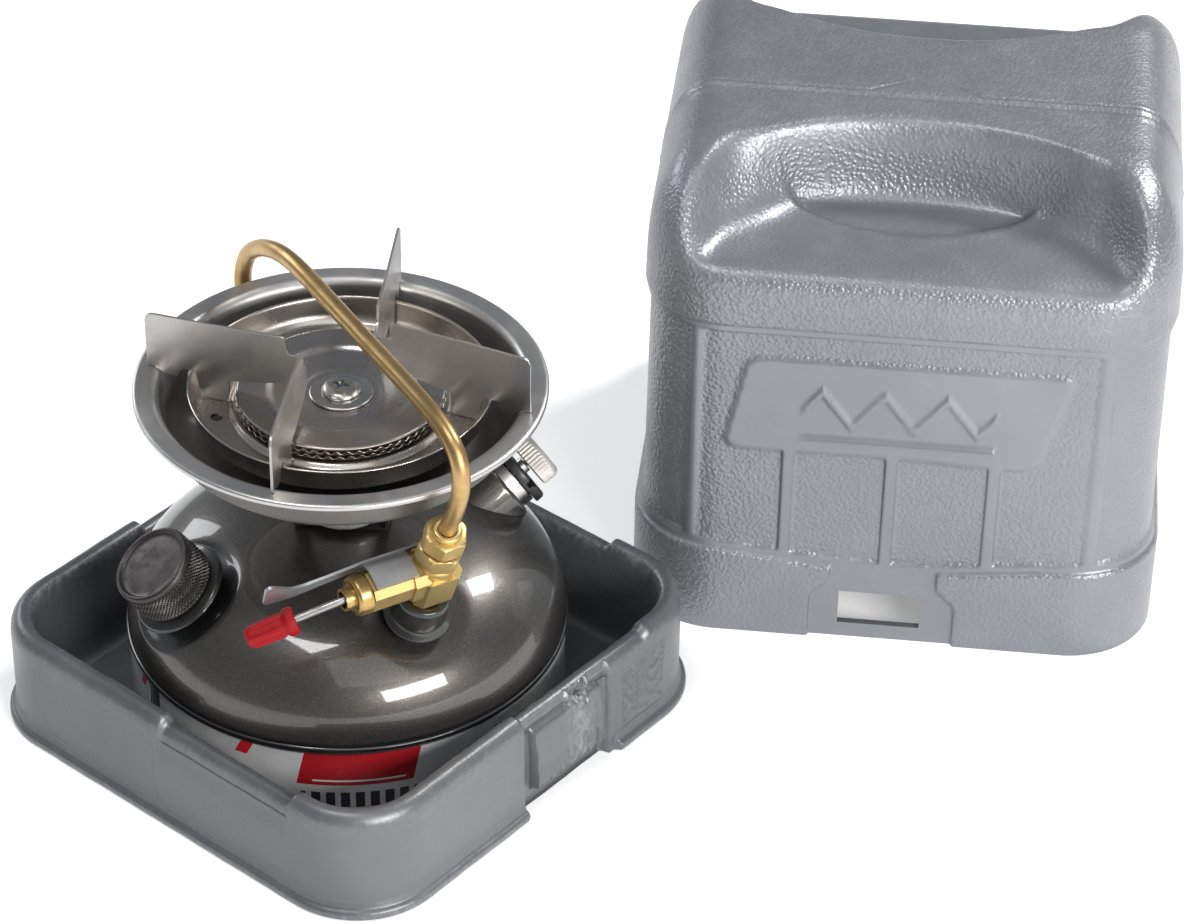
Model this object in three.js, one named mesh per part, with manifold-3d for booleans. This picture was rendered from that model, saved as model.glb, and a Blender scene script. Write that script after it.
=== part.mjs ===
// Single-burner liquid-fuel camping stove standing in the tray of its carry case, with the
// case cover standing beside it. Millimetres, +Z up, origin at the centre of the tray's underside.
import * as THREE from 'three';
import { mergeVertices } from 'three/addons/utils/BufferGeometryUtils.js';
import Module from 'manifold-3d';

const wasm = await Module();
wasm.setup();

// ---------------------------------------------------------------- driving dimensions
const GAP = 0.3;                 // general clearance between assembled pieces
const SEG = 18;                  // segments round a small turned piece
const BIG = 32;                  // and round a large one

// carry case tray
const TRAY_HALF = 86;            // half the width over the bottom flange
const TRAY_CORNER = 29;          // plan corner radius of the flange
const TRAY_FLOOR = 2.6;
const TRAY_WALL = 2.4;
const RIM_Z = 39;                // height of the rolled lip at the corners
const RIM_OUT = 83.5;            // half width over the lip
const RIM_IN = 76;               // half width inside the lip
const RIM_DIP = 3;               // how far the lip drops along the middle of each side
const DIP_HALF = 40;             // half length of the dropped stretch

// carry case cover
const COVER_HALF = 87;
const COVER_CORNER = 30;
const COVER_WALL = 2.4;
const COVER_H = 166;
const COVER_BAND_Z = 30;         // top of the wider band round the mouth
const COVER_BAND = 1.6;          // how far the band stands out
const COVER_ROLL = [17, 42, 30]; // roll of the top edge: inset at the ends, at the faces, fall
const COVER_TURN = 33.7;         // degrees that the cover is turned in plan
const COVER_POS = [67.9, 207.3];
const SCOOP_HALF = 74;           // hand scoop, half length along the cover
const SCOOP_DEEP = 59;           // hand scoop, reach in from the face
const SCOOP_Z = 141;             // floor of the hand scoop
const WINDOW_W = 27;             // latch window in the band
const WINDOW_H = 13;
const WINDOW_Z = 12;
const WINDOW_X = -3;             // the window sits a little off the middle of its face

// fuel tank
const TANK_R = 70;
const TANK_WALL = 1.2;
const SEAM_Z = 35.4;             // seam between cup and dome
const DOME_RISE = 38;
const DOME_N = 2.4;              // superellipse exponents of the dome section
const DOME_M = 2.3;
const CUP_R = 69.2;
const CUP_CORNER = 6;
const LABEL_T = 0.4;
const PICKUP_Z = 9.2;            // height of the open foot of the pickup tube

// filler
const CAP_R0 = 56;               // plan radius where the filler meets the dome
const CAP_PHI = -113;
const CAP_R = 13.4;
const CAP_H = 13;
const NECK_R = 11;
const NECK_BORE = 8.6;

// pump
const PUMP_R0 = 51;
const PUMP_PHI = 67;
const PUMP_TILT = 58;            // lean of the pump away from vertical
const PUMP_R = 10.2;
const PUMP_WALL = 1.0;
const PUMP_STROKE = 36;            // travel of the plunger
const PUMP_IN = PUMP_STROKE + 26;  // length inside the tank
const PUMP_OUT = 9;              // length outside the tank
const PUMP_KNOB_R = 9.2;

// fuel valve and generator
const VALVE_R0 = 48;
const VALVE_PHI = -20;
const BUNG_R = 10.4;
const STEM_R = 4.8;
const BLOCK_S = [17, 35];        // brass block, along the valve axis
const BARREL_S = 27;             // where the control barrel leaves the block
const BARREL_R = 5.4;
const BARREL_END = 22.5;
const NUT_AF = 13;
const BLOCK_HALF = 7;            // half width of the brass block
const PACK_AF = 12;
const STRIP_T = 0.9;
const NUT_S = [35.4, 51];
const TUBE_R = 2.8;
const LOOP_Z = 149.4;            // height of the generator tube over the burner
const LEVER_AZ = -124.7;         // direction of the cranked control rod
const LEVER_EL = -17;
const LEVER_LEN = 15.5;
const LEVER_R = 1.2;
const GRIP_LEN = 16;
const GRIP_R = 4.2;

// burner
const BOWL_R = 63.6;             // outer edge of the wind bowl
const BOWL_Z = 123.4;            // height of its flange
const BOWL_FLOOR = 104.4;
const SHEET = 0.9;
const PAN_R = 47;
const PAN_Z = 123.4;
const PAN_FLOOR = 115.2;
const NECK_OUT = 10;
const DRUM_R = 13.4;
const DRUM_Z = [75.4, 103.4];
const RING_R = [24, 32.6];
const RING_Z = 116.9;
const RING_FLAT = 0.5;
const RING_WAVES = 20;
const WAVE_AMP = 0.36;
const WAVE_T = 0.36;
const RING_GAP = 0.08;
const CAP_DISH_R = 32.2;
const SCREW_R = 2;

// pot grate
const GRATE_BEND_R = 12;
const GRATE_AXIS = [253, 70];    // plan direction of each bend
const GRATE_V = [49, 54];        // half angle of each bent sheet
const GRATE_R = 60.5;
const GRATE_Z = 143;
const GRATE_T = 0.9;

// ---------------------------------------------------------------- small helpers
const rad = (d) => d * Math.PI / 180;
const V = (x, y, z) => new THREE.Vector3(x, y, z);
const polar = (r, deg, z = 0) => V(r * Math.cos(rad(deg)), r * Math.sin(rad(deg)), z);

/** Welds a geometry, drops slivers and turns its faces outward. */
function solid(geometry) {
  const g = geometry.clone();
  g.deleteAttribute('normal');
  g.deleteAttribute('uv');
  const welded = mergeVertices(g, 1e-4);
  const p = welded.attributes.position;
  const index = [];
  let volume = 0;
  for (let i = 0; i < welded.index.count; i += 3) {
    const [a, b, c] = [0, 1, 2].map((k) => welded.index.getX(i + k));
    if (a === b || b === c || c === a) continue;
    index.push(a, b, c);
    const [A, B, C] = [a, b, c].map((k) => V().fromBufferAttribute(p, k));
    volume += A.dot(B.cross(C));
  }
  if (volume < 0) index.reverse();
  welded.setIndex(index);
  return welded;
}

function toManifold(geometry) {
  const g = solid(geometry);
  return new wasm.Manifold(new wasm.Mesh({
    numProp: 3,
    vertProperties: new Float32Array(g.attributes.position.array),
    triVerts: new Uint32Array(g.index.array),
  }));
}

function fromManifold(m) {
  const mesh = m.getMesh();
  const g = new THREE.BufferGeometry();
  g.setAttribute('position', new THREE.BufferAttribute(new Float32Array(mesh.vertProperties), 3));
  g.setIndex(new THREE.BufferAttribute(new Uint32Array(mesh.triVerts), 1));
  return g;
}

const join = (...list) => fromManifold(wasm.Manifold.union(list.map(toManifold)));
const cut = (body, ...tools) => fromManifold(
  wasm.Manifold.difference([toManifold(body), ...tools.map(toManifold)]));

/** Turned piece about local Z from [radius, z] points; a profile off the axis is closed. */
function lathe(points, segments = SEG) {
  const list = points.map(([r, z]) => new THREE.Vector2(r, z));
  if (points[0][0] > 1e-6) list.push(list[0].clone());
  return solid(new THREE.LatheGeometry(list, segments).rotateX(Math.PI / 2));
}

/** Disc or drum from z0 to z1 with a chamfered top edge. */
function drum(r, z0, z1, chamfer = 0, segments = SEG) {
  const top = chamfer ? [[r, z1 - chamfer], [r - chamfer, z1]] : [[r, z1]];
  return lathe([[0, z0], [r, z0], ...top, [0, z1]], segments);
}

const tubeRing = (rIn, rOut, z0, z1, segments = SEG) => lathe(
  [[rIn, z0], [rOut, z0], [rOut, z1], [rIn, z1]], segments);

const block = (x, y, z, cx = 0, cy = 0, cz = 0) => new THREE.BoxGeometry(x, y, z)
  .translate(cx, cy, cz);

/** Prism of a flat outline in local XY from z0 to z1. */
function prism(points, z0, z1) {
  const shape = new THREE.Shape(points.map(([x, y]) => new THREE.Vector2(x, y)));
  return new THREE.ExtrudeGeometry(shape, { depth: z1 - z0, bevelEnabled: false })
    .translate(0, 0, z0);
}

const hexagon = (af, z0, z1) => drum(af / Math.sqrt(3), z0, z1, 0, 6);

/** Moves a piece built about local Z so that Z points along `dir` and its origin is `at`. */
function along(geometry, at, dir, side) {
  const z = dir.clone().normalize();
  const x = side.clone().addScaledVector(z, -side.dot(z)).normalize();
  const y = z.clone().cross(x);
  const m = new THREE.Matrix4().makeBasis(x, y, z).setPosition(at);
  return geometry.clone().applyMatrix4(m);
}

/** Skin through equal rings of points, capped at both ends with a fan. */
function loft(rings) {
  const n = rings[0].length;
  const pos = rings.flat().flatMap((p) => [p.x, p.y, p.z]);
  const index = [];
  for (let k = 0; k + 1 < rings.length; k += 1) {
    for (let i = 0; i < n; i += 1) {
      const j = (i + 1) % n;
      const [a, b, c, d] = [k * n + i, k * n + j, (k + 1) * n + j, (k + 1) * n + i];
      index.push(a, b, c, a, c, d);
    }
  }
  for (const [k, flip] of [[0, true], [rings.length - 1, false]]) {
    const centre = rings[k].reduce((s, p) => s.add(p), V(0, 0, 0)).divideScalar(n);
    const at = pos.length / 3;
    pos.push(centre.x, centre.y, centre.z);
    for (let i = 0; i < n; i += 1) {
      const j = (i + 1) % n;
      if (flip) index.push(at, k * n + j, k * n + i);
      else index.push(at, k * n + i, k * n + j);
    }
  }
  const g = new THREE.BufferGeometry();
  g.setAttribute('position', new THREE.Float32BufferAttribute(pos, 3));
  g.setIndex(index);
  return solid(g);
}

/** Round bar swept along a smooth path. */
function rod(points, r, steps = 40, sides = 12, bend = true) {
  const path = bend ? new THREE.CatmullRomCurve3(points, false, 'centripetal')
    : new THREE.CatmullRomCurve3(points, false, 'catmullrom', 0);
  const shape = new THREE.Shape();
  for (let i = 0; i < sides; i += 1) {
    const a = 2 * Math.PI * i / sides;
    shape[i ? 'lineTo' : 'moveTo'](r * Math.cos(a), r * Math.sin(a));
  }
  shape.closePath();
  return solid(new THREE.ExtrudeGeometry(shape, {
    steps, bevelEnabled: false, extrudePath: path,
  }));
}

// ---------------------------------------------------------------- assembly
const group = new THREE.Group();
group.name = 'camping_stove';

function add(name, geometry, colour, roughness = 0.5, metalness = 0) {
  const g = solid(geometry);
  const material = new THREE.MeshStandardMaterial({ color: colour, roughness, metalness });
  const mesh = new THREE.Mesh(g, material);
  g.computeVertexNormals();
  mesh.name = name;
  group.add(mesh);
  return g;
}

// ---------------------------------------------------------------- carry case tray
const CORNER_STEPS = 6;

/** Rounded square of half size h at height z; dip lowers and pulls in the middle of each side. */
function squareRing(h, z, corner, dip = 0, inset = 0, reach = DIP_HALF) {
  const ring = [];
  const straight = h - corner;
  for (let side = 0; side < 4; side += 1) {
    const turn = rad(90 * side);
    const put = (x, y, dz) => ring.push(V(
      x * Math.cos(turn) - y * Math.sin(turn), x * Math.sin(turn) + y * Math.cos(turn), z + dz));
    const stops = [-straight, -reach - 3, -reach, 0, reach, reach + 3, straight];
    stops.forEach((s) => {
      const low = Math.abs(s) <= reach ? 1 : 0;
      put(h - inset * low, s, -dip * low);
    });
    for (let i = 1; i < CORNER_STEPS; i += 1) {
      const a = rad(90 * i / CORNER_STEPS);
      put(straight + corner * Math.cos(a), straight + corner * Math.sin(a), 0);
    }
  }
  return ring;
}

const trayRing = (h, z, dip = 0, inset = 0) => squareRing(
  h, z, TRAY_CORNER + h - TRAY_HALF, dip, inset);
const floorIn = RIM_IN - 2;
const innerSkin = RIM_IN + TRAY_WALL;
const outerSkin = RIM_OUT - TRAY_WALL;
const trayRows = [
  trayRing(floorIn + 1, 0),
  trayRing(floorIn + TRAY_WALL, 3.4),
  trayRing(innerSkin, RIM_Z - 5, RIM_DIP),
  trayRing(outerSkin, RIM_Z - 5.2, RIM_DIP, 0.6),
  trayRing(outerSkin + 0.8, 0),
  trayRing(TRAY_HALF - 0.6, 0),
  trayRing(TRAY_HALF, 2.6),
  trayRing(TRAY_HALF - 1.1, 3.8),
  trayRing(RIM_OUT, 5),
  trayRing(RIM_OUT, RIM_Z - 9, 0, 0.9),
  trayRing(RIM_OUT, RIM_Z - 4.5, RIM_DIP, 0.9),
  trayRing(RIM_OUT - 0.8, RIM_Z - 2, RIM_DIP, 0.6),
  trayRing(RIM_OUT - 2.2, RIM_Z - 0.5, RIM_DIP),
  trayRing(RIM_OUT - 3.8, RIM_Z, RIM_DIP),
  trayRing(RIM_IN + 1.8, RIM_Z - 0.6, RIM_DIP),
  trayRing(RIM_IN + 0.5, RIM_Z - 2.2, RIM_DIP),
  trayRing(RIM_IN, RIM_Z - 4.8, RIM_DIP),
  trayRing(floorIn + 0.4, 5.6),
  trayRing(floorIn - 0.6, 3.4),
  trayRing(floorIn - 2.6, TRAY_FLOOR),
];
const trayShell = loft(trayRows);

// latch tab on the +X side: a tongue with a lozenge loop, and its toothed lower end
const TAB_Y = 9;
const tab = block(3.4, 27, 16, RIM_OUT - 1.2, TAB_Y, 20);
const tabLoop = prism([[-8, 0], [0, -5.5], [8, 0], [0, 5.5]], 0, 3)
  .rotateX(Math.PI / 2).rotateZ(Math.PI / 2).translate(RIM_OUT - 2, 18, 34);
const tabTeeth = [-9, -3, 3, 9].map((y) => block(1.2, 3.4, 6, RIM_OUT + 0.9, TAB_Y + y, 13));
const gripPad = [0, 1, 2, 3].map((i) => block(1.4, 26, 2, RIM_OUT - 0.1, 50, 14 + 5 * i));
add('case_tray', join(trayShell, tab, ...tabTeeth, ...gripPad), 0x9aa0a4, 0.55);

// ---------------------------------------------------------------- carry case cover
function coverBody(grow, top, bottom) {
  const half = COVER_HALF + grow;
  const r = COVER_CORNER + grow;
  const neck = half - COVER_BAND;
  // a ring `h` wide and `depth` deep, both as half sizes
  const ring = (h, z, depth = h) => squareRing(h, z, r + h - half, 0, 0, 34)
    .map((p) => V(p.x, p.y * depth / h, p.z));
  const rows = [ring(half, bottom), ring(half, COVER_BAND_Z - 1.5),
    ring(neck, COVER_BAND_Z), ring(neck - 1.2, top - COVER_ROLL[2])];
  for (let i = 1; i <= 5; i += 1) {
    const a = rad(18 * i);
    const inset = 1 - Math.cos(a);
    rows.push(ring(neck - 1.2 - COVER_ROLL[0] * inset,
      top - COVER_ROLL[2] + COVER_ROLL[2] * Math.sin(a), neck - 1.2 - COVER_ROLL[1] * inset));
  }
  return loft(rows);
}

function scoop(grow, side) {
  const rows = [];
  const steps = [[0.9, SCOOP_Z], [0.965, SCOOP_Z + 1.8], [1, SCOOP_Z + 6], [1.02, COVER_H - 8],
    [1.06, COVER_H - 2.5], [1.14, COVER_H + 0.6], [1.16, COVER_H + 20]];
  steps.forEach(([k, z]) => {
    const ring = [];
    for (let i = 0; i < 40; i += 1) {
      const a = 2 * Math.PI * i / 40;
      const x = Math.sign(Math.cos(a)) * Math.abs(Math.cos(a)) ** 0.86;
      ring.push(V((SCOOP_HALF * k + grow) * x,
        side * (-COVER_HALF - 4) + (SCOOP_DEEP * k + grow) * Math.sin(a), z - grow));
    }
    rows.push(ring);
  });
  return loft(rows);
}

const panel = (side) => block(120, 2.4, 84, 0, side * (-COVER_HALF + COVER_BAND), 74);
const windowCut = (side) => block(
  WINDOW_W, 12, WINDOW_H, side * WINDOW_X, side * -COVER_HALF, WINDOW_Z);
const coverOuter = cut(coverBody(0, COVER_H, 0), scoop(0, 1), scoop(0, -1));
const coverInner = cut(coverBody(-COVER_WALL, COVER_H - COVER_WALL, -5),
  scoop(COVER_WALL, 1), scoop(COVER_WALL, -1));
const ribs = [1, -1].flatMap((side) => [-66, 66].map(
  (x) => block(2.2, 1.6, 84, x * 0.98, side * (-COVER_HALF + COVER_BAND + 1.2), 75)));
const cover = join(cut(coverOuter, coverInner, windowCut(1), windowCut(-1)), ...ribs);
add('case_cover', cover.clone().rotateZ(rad(COVER_TURN))
  .translate(COVER_POS[0], COVER_POS[1], 0), 0x9aa6ac, 0.5);

// ---------------------------------------------------------------- tank
/** Height of the dome's outer skin at plan radius r, with the skin moved out by `off`. */
const domeZ = (r, off = 0) => SEAM_Z
  + (DOME_RISE + off) * (1 - (r / (TANK_R + off)) ** DOME_N) ** (1 / DOME_M);
const domeNormalTilt = (r) => {
  const e = 0.01;
  return Math.atan((domeZ(r - e) - domeZ(r + e)) / (2 * e));
};
function domeProfile(off, steps = 8) {
  const points = [];
  for (let i = 0; i <= steps; i += 1) {
    const t = Math.sin(rad(90 * i / steps));
    const r = (TANK_R + off) * (1 - (1 - t) ** 1.6);
    points.push([Math.min(r, TANK_R + off), i === steps ? SEAM_Z : domeZ(r, off)]);
  }
  return points;
}
const frameAt = (r0, phi, tilt) => {
  const at = polar(r0, phi, domeZ(r0));
  const out = polar(1, phi);
  const dir = out.clone().multiplyScalar(Math.sin(tilt)).setZ(Math.cos(tilt));
  const side = polar(1, phi + 90);
  return {
    at, dir, side,
    point: (s) => at.clone().addScaledVector(dir, s),
    put: (g) => along(g, at, dir, side),
  };
};
const filler = frameAt(CAP_R0, CAP_PHI, domeNormalTilt(CAP_R0));
const valve = frameAt(VALVE_R0, VALVE_PHI, domeNormalTilt(VALVE_R0));
const pump = frameAt(PUMP_R0, PUMP_PHI, rad(PUMP_TILT));

const outerDome = domeProfile(0);
const innerDome = domeProfile(-TANK_WALL).reverse();
const domeShell = lathe([
  ...outerDome,
  [TANK_R + 0.5, SEAM_Z - 0.4],
  [TANK_R + 0.5, SEAM_Z - 1.8],
  [TANK_R - TANK_WALL, SEAM_Z - 1.8],
  ...innerDome,
], BIG);
const domeSolid = (off) => lathe([...domeProfile(off), [0, SEAM_Z]], BIG);
add('tank_dome', cut(domeShell,
  filler.put(drum(NECK_R + GAP, -12, 8)),
  valve.put(drum(STEM_R + 2.2 + GAP, -12, 8)),
  pump.put(drum(PUMP_R + GAP, -40, 30))), 0x4b4844, 0.3, 0.6);

const cupTop = SEAM_Z - 1.8 - GAP;
const cupZ = TRAY_FLOOR + GAP;
const cupArc = (r, c, z0) => [0, 1, 2, 3].map((i) => {
  const a = rad(-90 + 30 * i);
  return [r - c + c * Math.cos(a), z0 + c + c * Math.sin(a)];
});
add('tank_cup', lathe([
  [0, cupZ + 2.4], [44, cupZ + 2.4], [50, cupZ],
  ...cupArc(CUP_R, CUP_CORNER, cupZ),
  [CUP_R, cupTop], [CUP_R - TANK_WALL, cupTop],
  ...cupArc(CUP_R - TANK_WALL, CUP_CORNER - TANK_WALL, cupZ + TANK_WALL).reverse(),
  [50.5, cupZ + TANK_WALL], [44.5, cupZ + 2.4 + TANK_WALL], [0, cupZ + 2.4 + TANK_WALL],
], BIG), 0x3c3a38, 0.4, 0.5);

add('tank_label', cut(
  tubeRing(CUP_R + 0.1, CUP_R + 0.1 + LABEL_T, cupZ + CUP_CORNER + 1, cupTop - 1, BIG),
  block(30, 5, 60, -CUP_R, 0, 20).rotateZ(rad(62))), 0xd8d8d6, 0.45);

// ---------------------------------------------------------------- filler neck and cap
add('filler_neck', filler.put(lathe([
  [NECK_BORE, -7], [NECK_R, -7], [NECK_R, 0.4], [15.6, 0.4], [16, 0.9], [15.2, 1.8],
  [NECK_R + 0.2, 2.6], [NECK_R, 9.5], [NECK_R - 0.5, 10], [NECK_BORE, 10],
])), 0x2e2d2c, 0.35, 0.6);
const CAP_S = 3.4;               // where the cap's skirt ends above the dome
const capTop = CAP_S + CAP_H;
const knurl = [];
const capSides = 32;
for (let i = 0; i < capSides; i += 1) {
  const r = CAP_R + (i % 2 ? 0 : -0.45);
  knurl.push([r * Math.cos(2 * Math.PI * i / capSides), r * Math.sin(2 * Math.PI * i / capSides)]);
}
const capBore = NECK_R + 0.5;
add('fuel_cap', filler.put(cut(
  join(prism(knurl, CAP_S, capTop - 1.6),
    lathe([[0, capTop - 2], [CAP_R - 0.4, capTop - 2], [CAP_R, capTop - 1.2],
      [CAP_R - 0.5, capTop - 0.2], [CAP_R - 1.2, capTop], [CAP_R - 2.2, capTop - 0.6],
      [0, capTop - 0.9]])),
  drum(capBore, CAP_S - 1, capTop - 2.6))), 0x3a3836, 0.35, 0.8);
add('cap_gasket', filler.put(tubeRing(4.2, NECK_R - 0.4, 10 + GAP, 12.2)), 0x1a1a1a, 0.9);
add('cap_insert', filler.put(lathe([
  [0, 4], [3.2, 4], [3.2, 12.5], [9.5, 12.5], [9.5, 13.4], [0, 13.4],
])), 0xb9975a, 0.4, 0.9);

// ---------------------------------------------------------------- pump
add('pump_boss', cut(
  pump.put(lathe([
    [PUMP_R + 0.15, -16], [PUMP_R + 2.4, -16], [PUMP_R + 2.4, 4.6], [PUMP_R + 1.6, 5.4],
    [PUMP_R + 0.15, 5.4]])),
  domeSolid(0.15)), 0x4b4844, 0.35, 0.6);
add('pump_barrel', pump.put(lathe([
  [2.6, -PUMP_IN], [PUMP_R, -PUMP_IN], [PUMP_R, PUMP_OUT], [PUMP_R - PUMP_WALL, PUMP_OUT],
  [PUMP_R - PUMP_WALL, -PUMP_IN + 1.2], [2.6, -PUMP_IN + 1.2],
])), 0xb8b8b4, 0.35, 0.9);
add('check_valve', pump.put(lathe([
  [0, -PUMP_IN - 7], [2.1, -PUMP_IN - 7], [2.3, -PUMP_IN - 1], [2.3, -PUMP_IN + 1.8],
  [4.6, -PUMP_IN + 1.8], [4.6, -PUMP_IN + 4.4], [0, -PUMP_IN + 4.4],
])), 0xb9975a, 0.4, 0.9);
const CLIP_S = PUMP_OUT + 0.2;
add('pump_clip', pump.put(join(
  lathe([[3.4, CLIP_S], [PUMP_R + 1.6, CLIP_S], [PUMP_R + 1.6, CLIP_S + 2.6],
    [PUMP_R + 0.8, CLIP_S + 3.4], [3.4, CLIP_S + 3.4]]),
  block(5, 3, 5.6, 0, PUMP_R + 1.9, CLIP_S + 0.2))), 0x151515, 0.5);
const rodEnd = -PUMP_IN + 12;
add('pump_rod', pump.put(lathe([
  [1.4, rodEnd - 2], [2.6, rodEnd - 2], [2.6, CLIP_S + 5], [1.4, CLIP_S + 5],
])), 0xb0b0ac, 0.3, 0.9);
add('pump_cup', pump.put(lathe([
  [2.7, rodEnd], [PUMP_R - PUMP_WALL - 0.2, rodEnd - 4], [PUMP_R - PUMP_WALL - 0.2, rodEnd + 2],
  [PUMP_R - PUMP_WALL - 1.4, rodEnd + 3], [2.7, rodEnd + 3],
])), 0x6b4a2f, 0.8);
const KNOB_S = CLIP_S + 5.4;
const knobKnurl = [];
for (let i = 0; i < 36; i += 1) {
  const r = PUMP_KNOB_R - (i % 2 ? 0.4 : 0);
  knobKnurl.push([r * Math.cos(rad(10 * i)), r * Math.sin(rad(10 * i))]);
}
add('pump_knob', pump.put(join(
  prism(knobKnurl, KNOB_S, KNOB_S + 5.4),
  drum(PUMP_KNOB_R - 0.9, KNOB_S + 5.3, KNOB_S + 6.6, 0.8),
  drum(1.1, -PUMP_IN + 8, KNOB_S + 1, 0, 16))), 0xc4c2bc, 0.4, 0.6);

// ---------------------------------------------------------------- fuel valve
const bungBore = STEM_R + GAP;
add('valve_bung', valve.put(lathe([
  [bungBore, -6], [STEM_R + 2.2, -6], [STEM_R + 2.2, 0.3], [BUNG_R, 0.3], [BUNG_R + 0.4, 1.2],
  [BUNG_R - 1, 2.4], [BUNG_R - 1.6, 3.2], [BUNG_R - 2, 12.4], [BUNG_R - 3, 13.2],
  [bungBore, 13.2],
])), 0x2a2928, 0.35, 0.6);
const barrelDir = valve.side.clone().negate();
const barrelAt = valve.point(BARREL_S);
const putBarrel = (g) => along(g, barrelAt, barrelDir, valve.dir);
const chamferSquare = (h, c) => [[h, -h + c], [h, h - c], [h - c, h], [-h + c, h], [-h, h - c],
  [-h, -h + c], [-h + c, -h], [h - c, -h]];
add('valve_body', cut(join(
  valve.put(drum(STEM_R, -10, BLOCK_S[0] + 1)),
  valve.put(prism(chamferSquare(BLOCK_HALF, 2), BLOCK_S[0], BLOCK_S[1] - 3)),
  valve.put(drum(6.6, BLOCK_S[1] - 4, BLOCK_S[1], 0.8)),
  putBarrel(prism(chamferSquare(BARREL_R, 1.6), 4, BARREL_END)),
), putBarrel(drum(LEVER_R + 1.6, 8, BARREL_END + 1)),
valve.put(drum(TUBE_R + 0.15, BLOCK_S[1] - 4, BLOCK_S[1] + 1))), 0xc9a24a, 0.3, 0.95);
const pickupFoot = (PICKUP_Z - valve.point(0).z) / (valve.point(1).z - valve.point(0).z);
add('pickup_tube', valve.put(tubeRing(1.3, 2.2, pickupFoot, -10 - GAP, 16)), 0xb9975a, 0.4, 0.9);
add('generator_nut', valve.put(cut(
  join(hexagon(NUT_AF, NUT_S[0], NUT_S[0] + 6.5), drum(5.6, NUT_S[0] + 6, NUT_S[0] + 8),
    hexagon(NUT_AF - 0.6, NUT_S[0] + 7.5, NUT_S[1])),
  drum(TUBE_R + 0.2, NUT_S[0] - 1, NUT_S[1] + 1))), 0xd8b45a, 0.3, 0.95);

add('packing_nut', putBarrel(cut(
  join(hexagon(PACK_AF, BARREL_END + 0.1, BARREL_END + 4), drum(5.6, BARREL_END + 3.5,
    BARREL_END + 5.6, 0.7)),
  drum(LEVER_R + 0.6, BARREL_END - 1, BARREL_END + 8))), 0xa8843e, 0.4, 0.9);

// control rod: straight in the packing nut, cranked outside it, with a moulded grip
const ROD_OUT = BARREL_END + 7.4;
const leverFrom = barrelAt.clone().addScaledVector(barrelDir, ROD_OUT);
const leverDir = V(Math.cos(rad(LEVER_AZ)) * Math.cos(rad(LEVER_EL)),
  Math.sin(rad(LEVER_AZ)) * Math.cos(rad(LEVER_EL)), Math.sin(rad(LEVER_EL)));
const leverPoint = (s) => leverFrom.clone().addScaledVector(leverDir, s);
const rodLine = [
  barrelAt.clone().addScaledVector(barrelDir, 9),
  barrelAt.clone().addScaledVector(barrelDir, ROD_OUT - 1.5),
  leverPoint(1.5),
  leverPoint(LEVER_LEN + GRIP_LEN - 2),
];
add('control_stem', rod(rodLine, LEVER_R, 12, 8), 0xa9a9a6, 0.3, 0.95);
const gripProfile = [[LEVER_R + 0.2, 0], [GRIP_R, 0], [GRIP_R + 0.3, 0.8], [GRIP_R + 0.3, 2.6],
  [GRIP_R - 0.5, 3.4], [GRIP_R - 0.8, GRIP_LEN - 1.2], [GRIP_R - 1.8, GRIP_LEN], [0, GRIP_LEN],
  [0, GRIP_LEN - 1.4], [LEVER_R + 0.2, GRIP_LEN - 1.4]];
const gripRibs = [0, 60, 120, 180, 240, 300].map((a) => block(
  1.2, 1.2, GRIP_LEN - 5, GRIP_R - 0.6, 0, GRIP_LEN / 2 + 1.2).rotateZ(rad(a)));
add('control_grip', along(join(lathe(gripProfile, 12), ...gripRibs),
  leverPoint(LEVER_LEN), leverDir, V(0, 0, 1)), 0xc8202c, 0.45);

// stamped strip on the stove side of the barrel, ending in a small flag
const STRIP_Y = BLOCK_HALF + GAP;
const stripTop = BARREL_R + GAP + STRIP_T;
const stripShape = [[-4, 0.5], [26, 0.5], [38, -2.6], [52, -3.6], [52, 2.2], [40, 2.6],
  [BARREL_END - 1, stripTop], [-4, stripTop]];
const strip = join(
  prism(stripShape, 0, STRIP_T),
  block(BARREL_END - 9, STRIP_T, STRIP_Y + 2.6, BLOCK_HALF + (BARREL_END - 9) / 2 + 0.4,
    stripTop - STRIP_T / 2, -(STRIP_Y + 2.6) / 2 + STRIP_T));
// local X runs along the barrel, Y up the valve and Z toward the burner
const stripFrame = new THREE.Matrix4().makeBasis(
  barrelDir, valve.dir, barrelDir.clone().cross(valve.dir));
const burnerSide = barrelDir.clone().cross(valve.dir);
stripFrame.setPosition(barrelAt.clone().addScaledVector(burnerSide, STRIP_Y));
add('valve_strip', strip.applyMatrix4(stripFrame), 0x9c9c98, 0.35, 0.9);

// ---------------------------------------------------------------- generator loop
const loopAt = (r, z) => polar(1, VALVE_PHI).multiplyScalar(r).setZ(z);
const sleeve = (s) => valve.point(s);
const JET_R0 = -35;              // where the jet starts, on the far side of the burner
const PORT_Z = 90;
const loopLine = [
  sleeve(NUT_S[0] - 1.2), sleeve(NUT_S[1] - 3), sleeve(NUT_S[1] + 4), loopAt(73.6, 122),
  loopAt(77, 131), loopAt(77.4, 139), loopAt(73.4, 145.4), loopAt(65, 148.4),
  loopAt(50, LOOP_Z), loopAt(20, LOOP_Z), loopAt(-12, LOOP_Z), loopAt(-30, LOOP_Z - 0.3),
  loopAt(-43, 146.4), loopAt(-55, 140.6), loopAt(-64, 133), loopAt(-68.4, 124),
  loopAt(-69, 114), loopAt(-68.6, 103), loopAt(-65.4, 94.6), loopAt(-57, PORT_Z + 0.6),
  loopAt(-46, PORT_Z), loopAt(JET_R0, PORT_Z),
];
add('generator_tube', rod(loopLine, TUBE_R, 46, 8), 0xa9803c, 0.35, 0.9);
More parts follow.
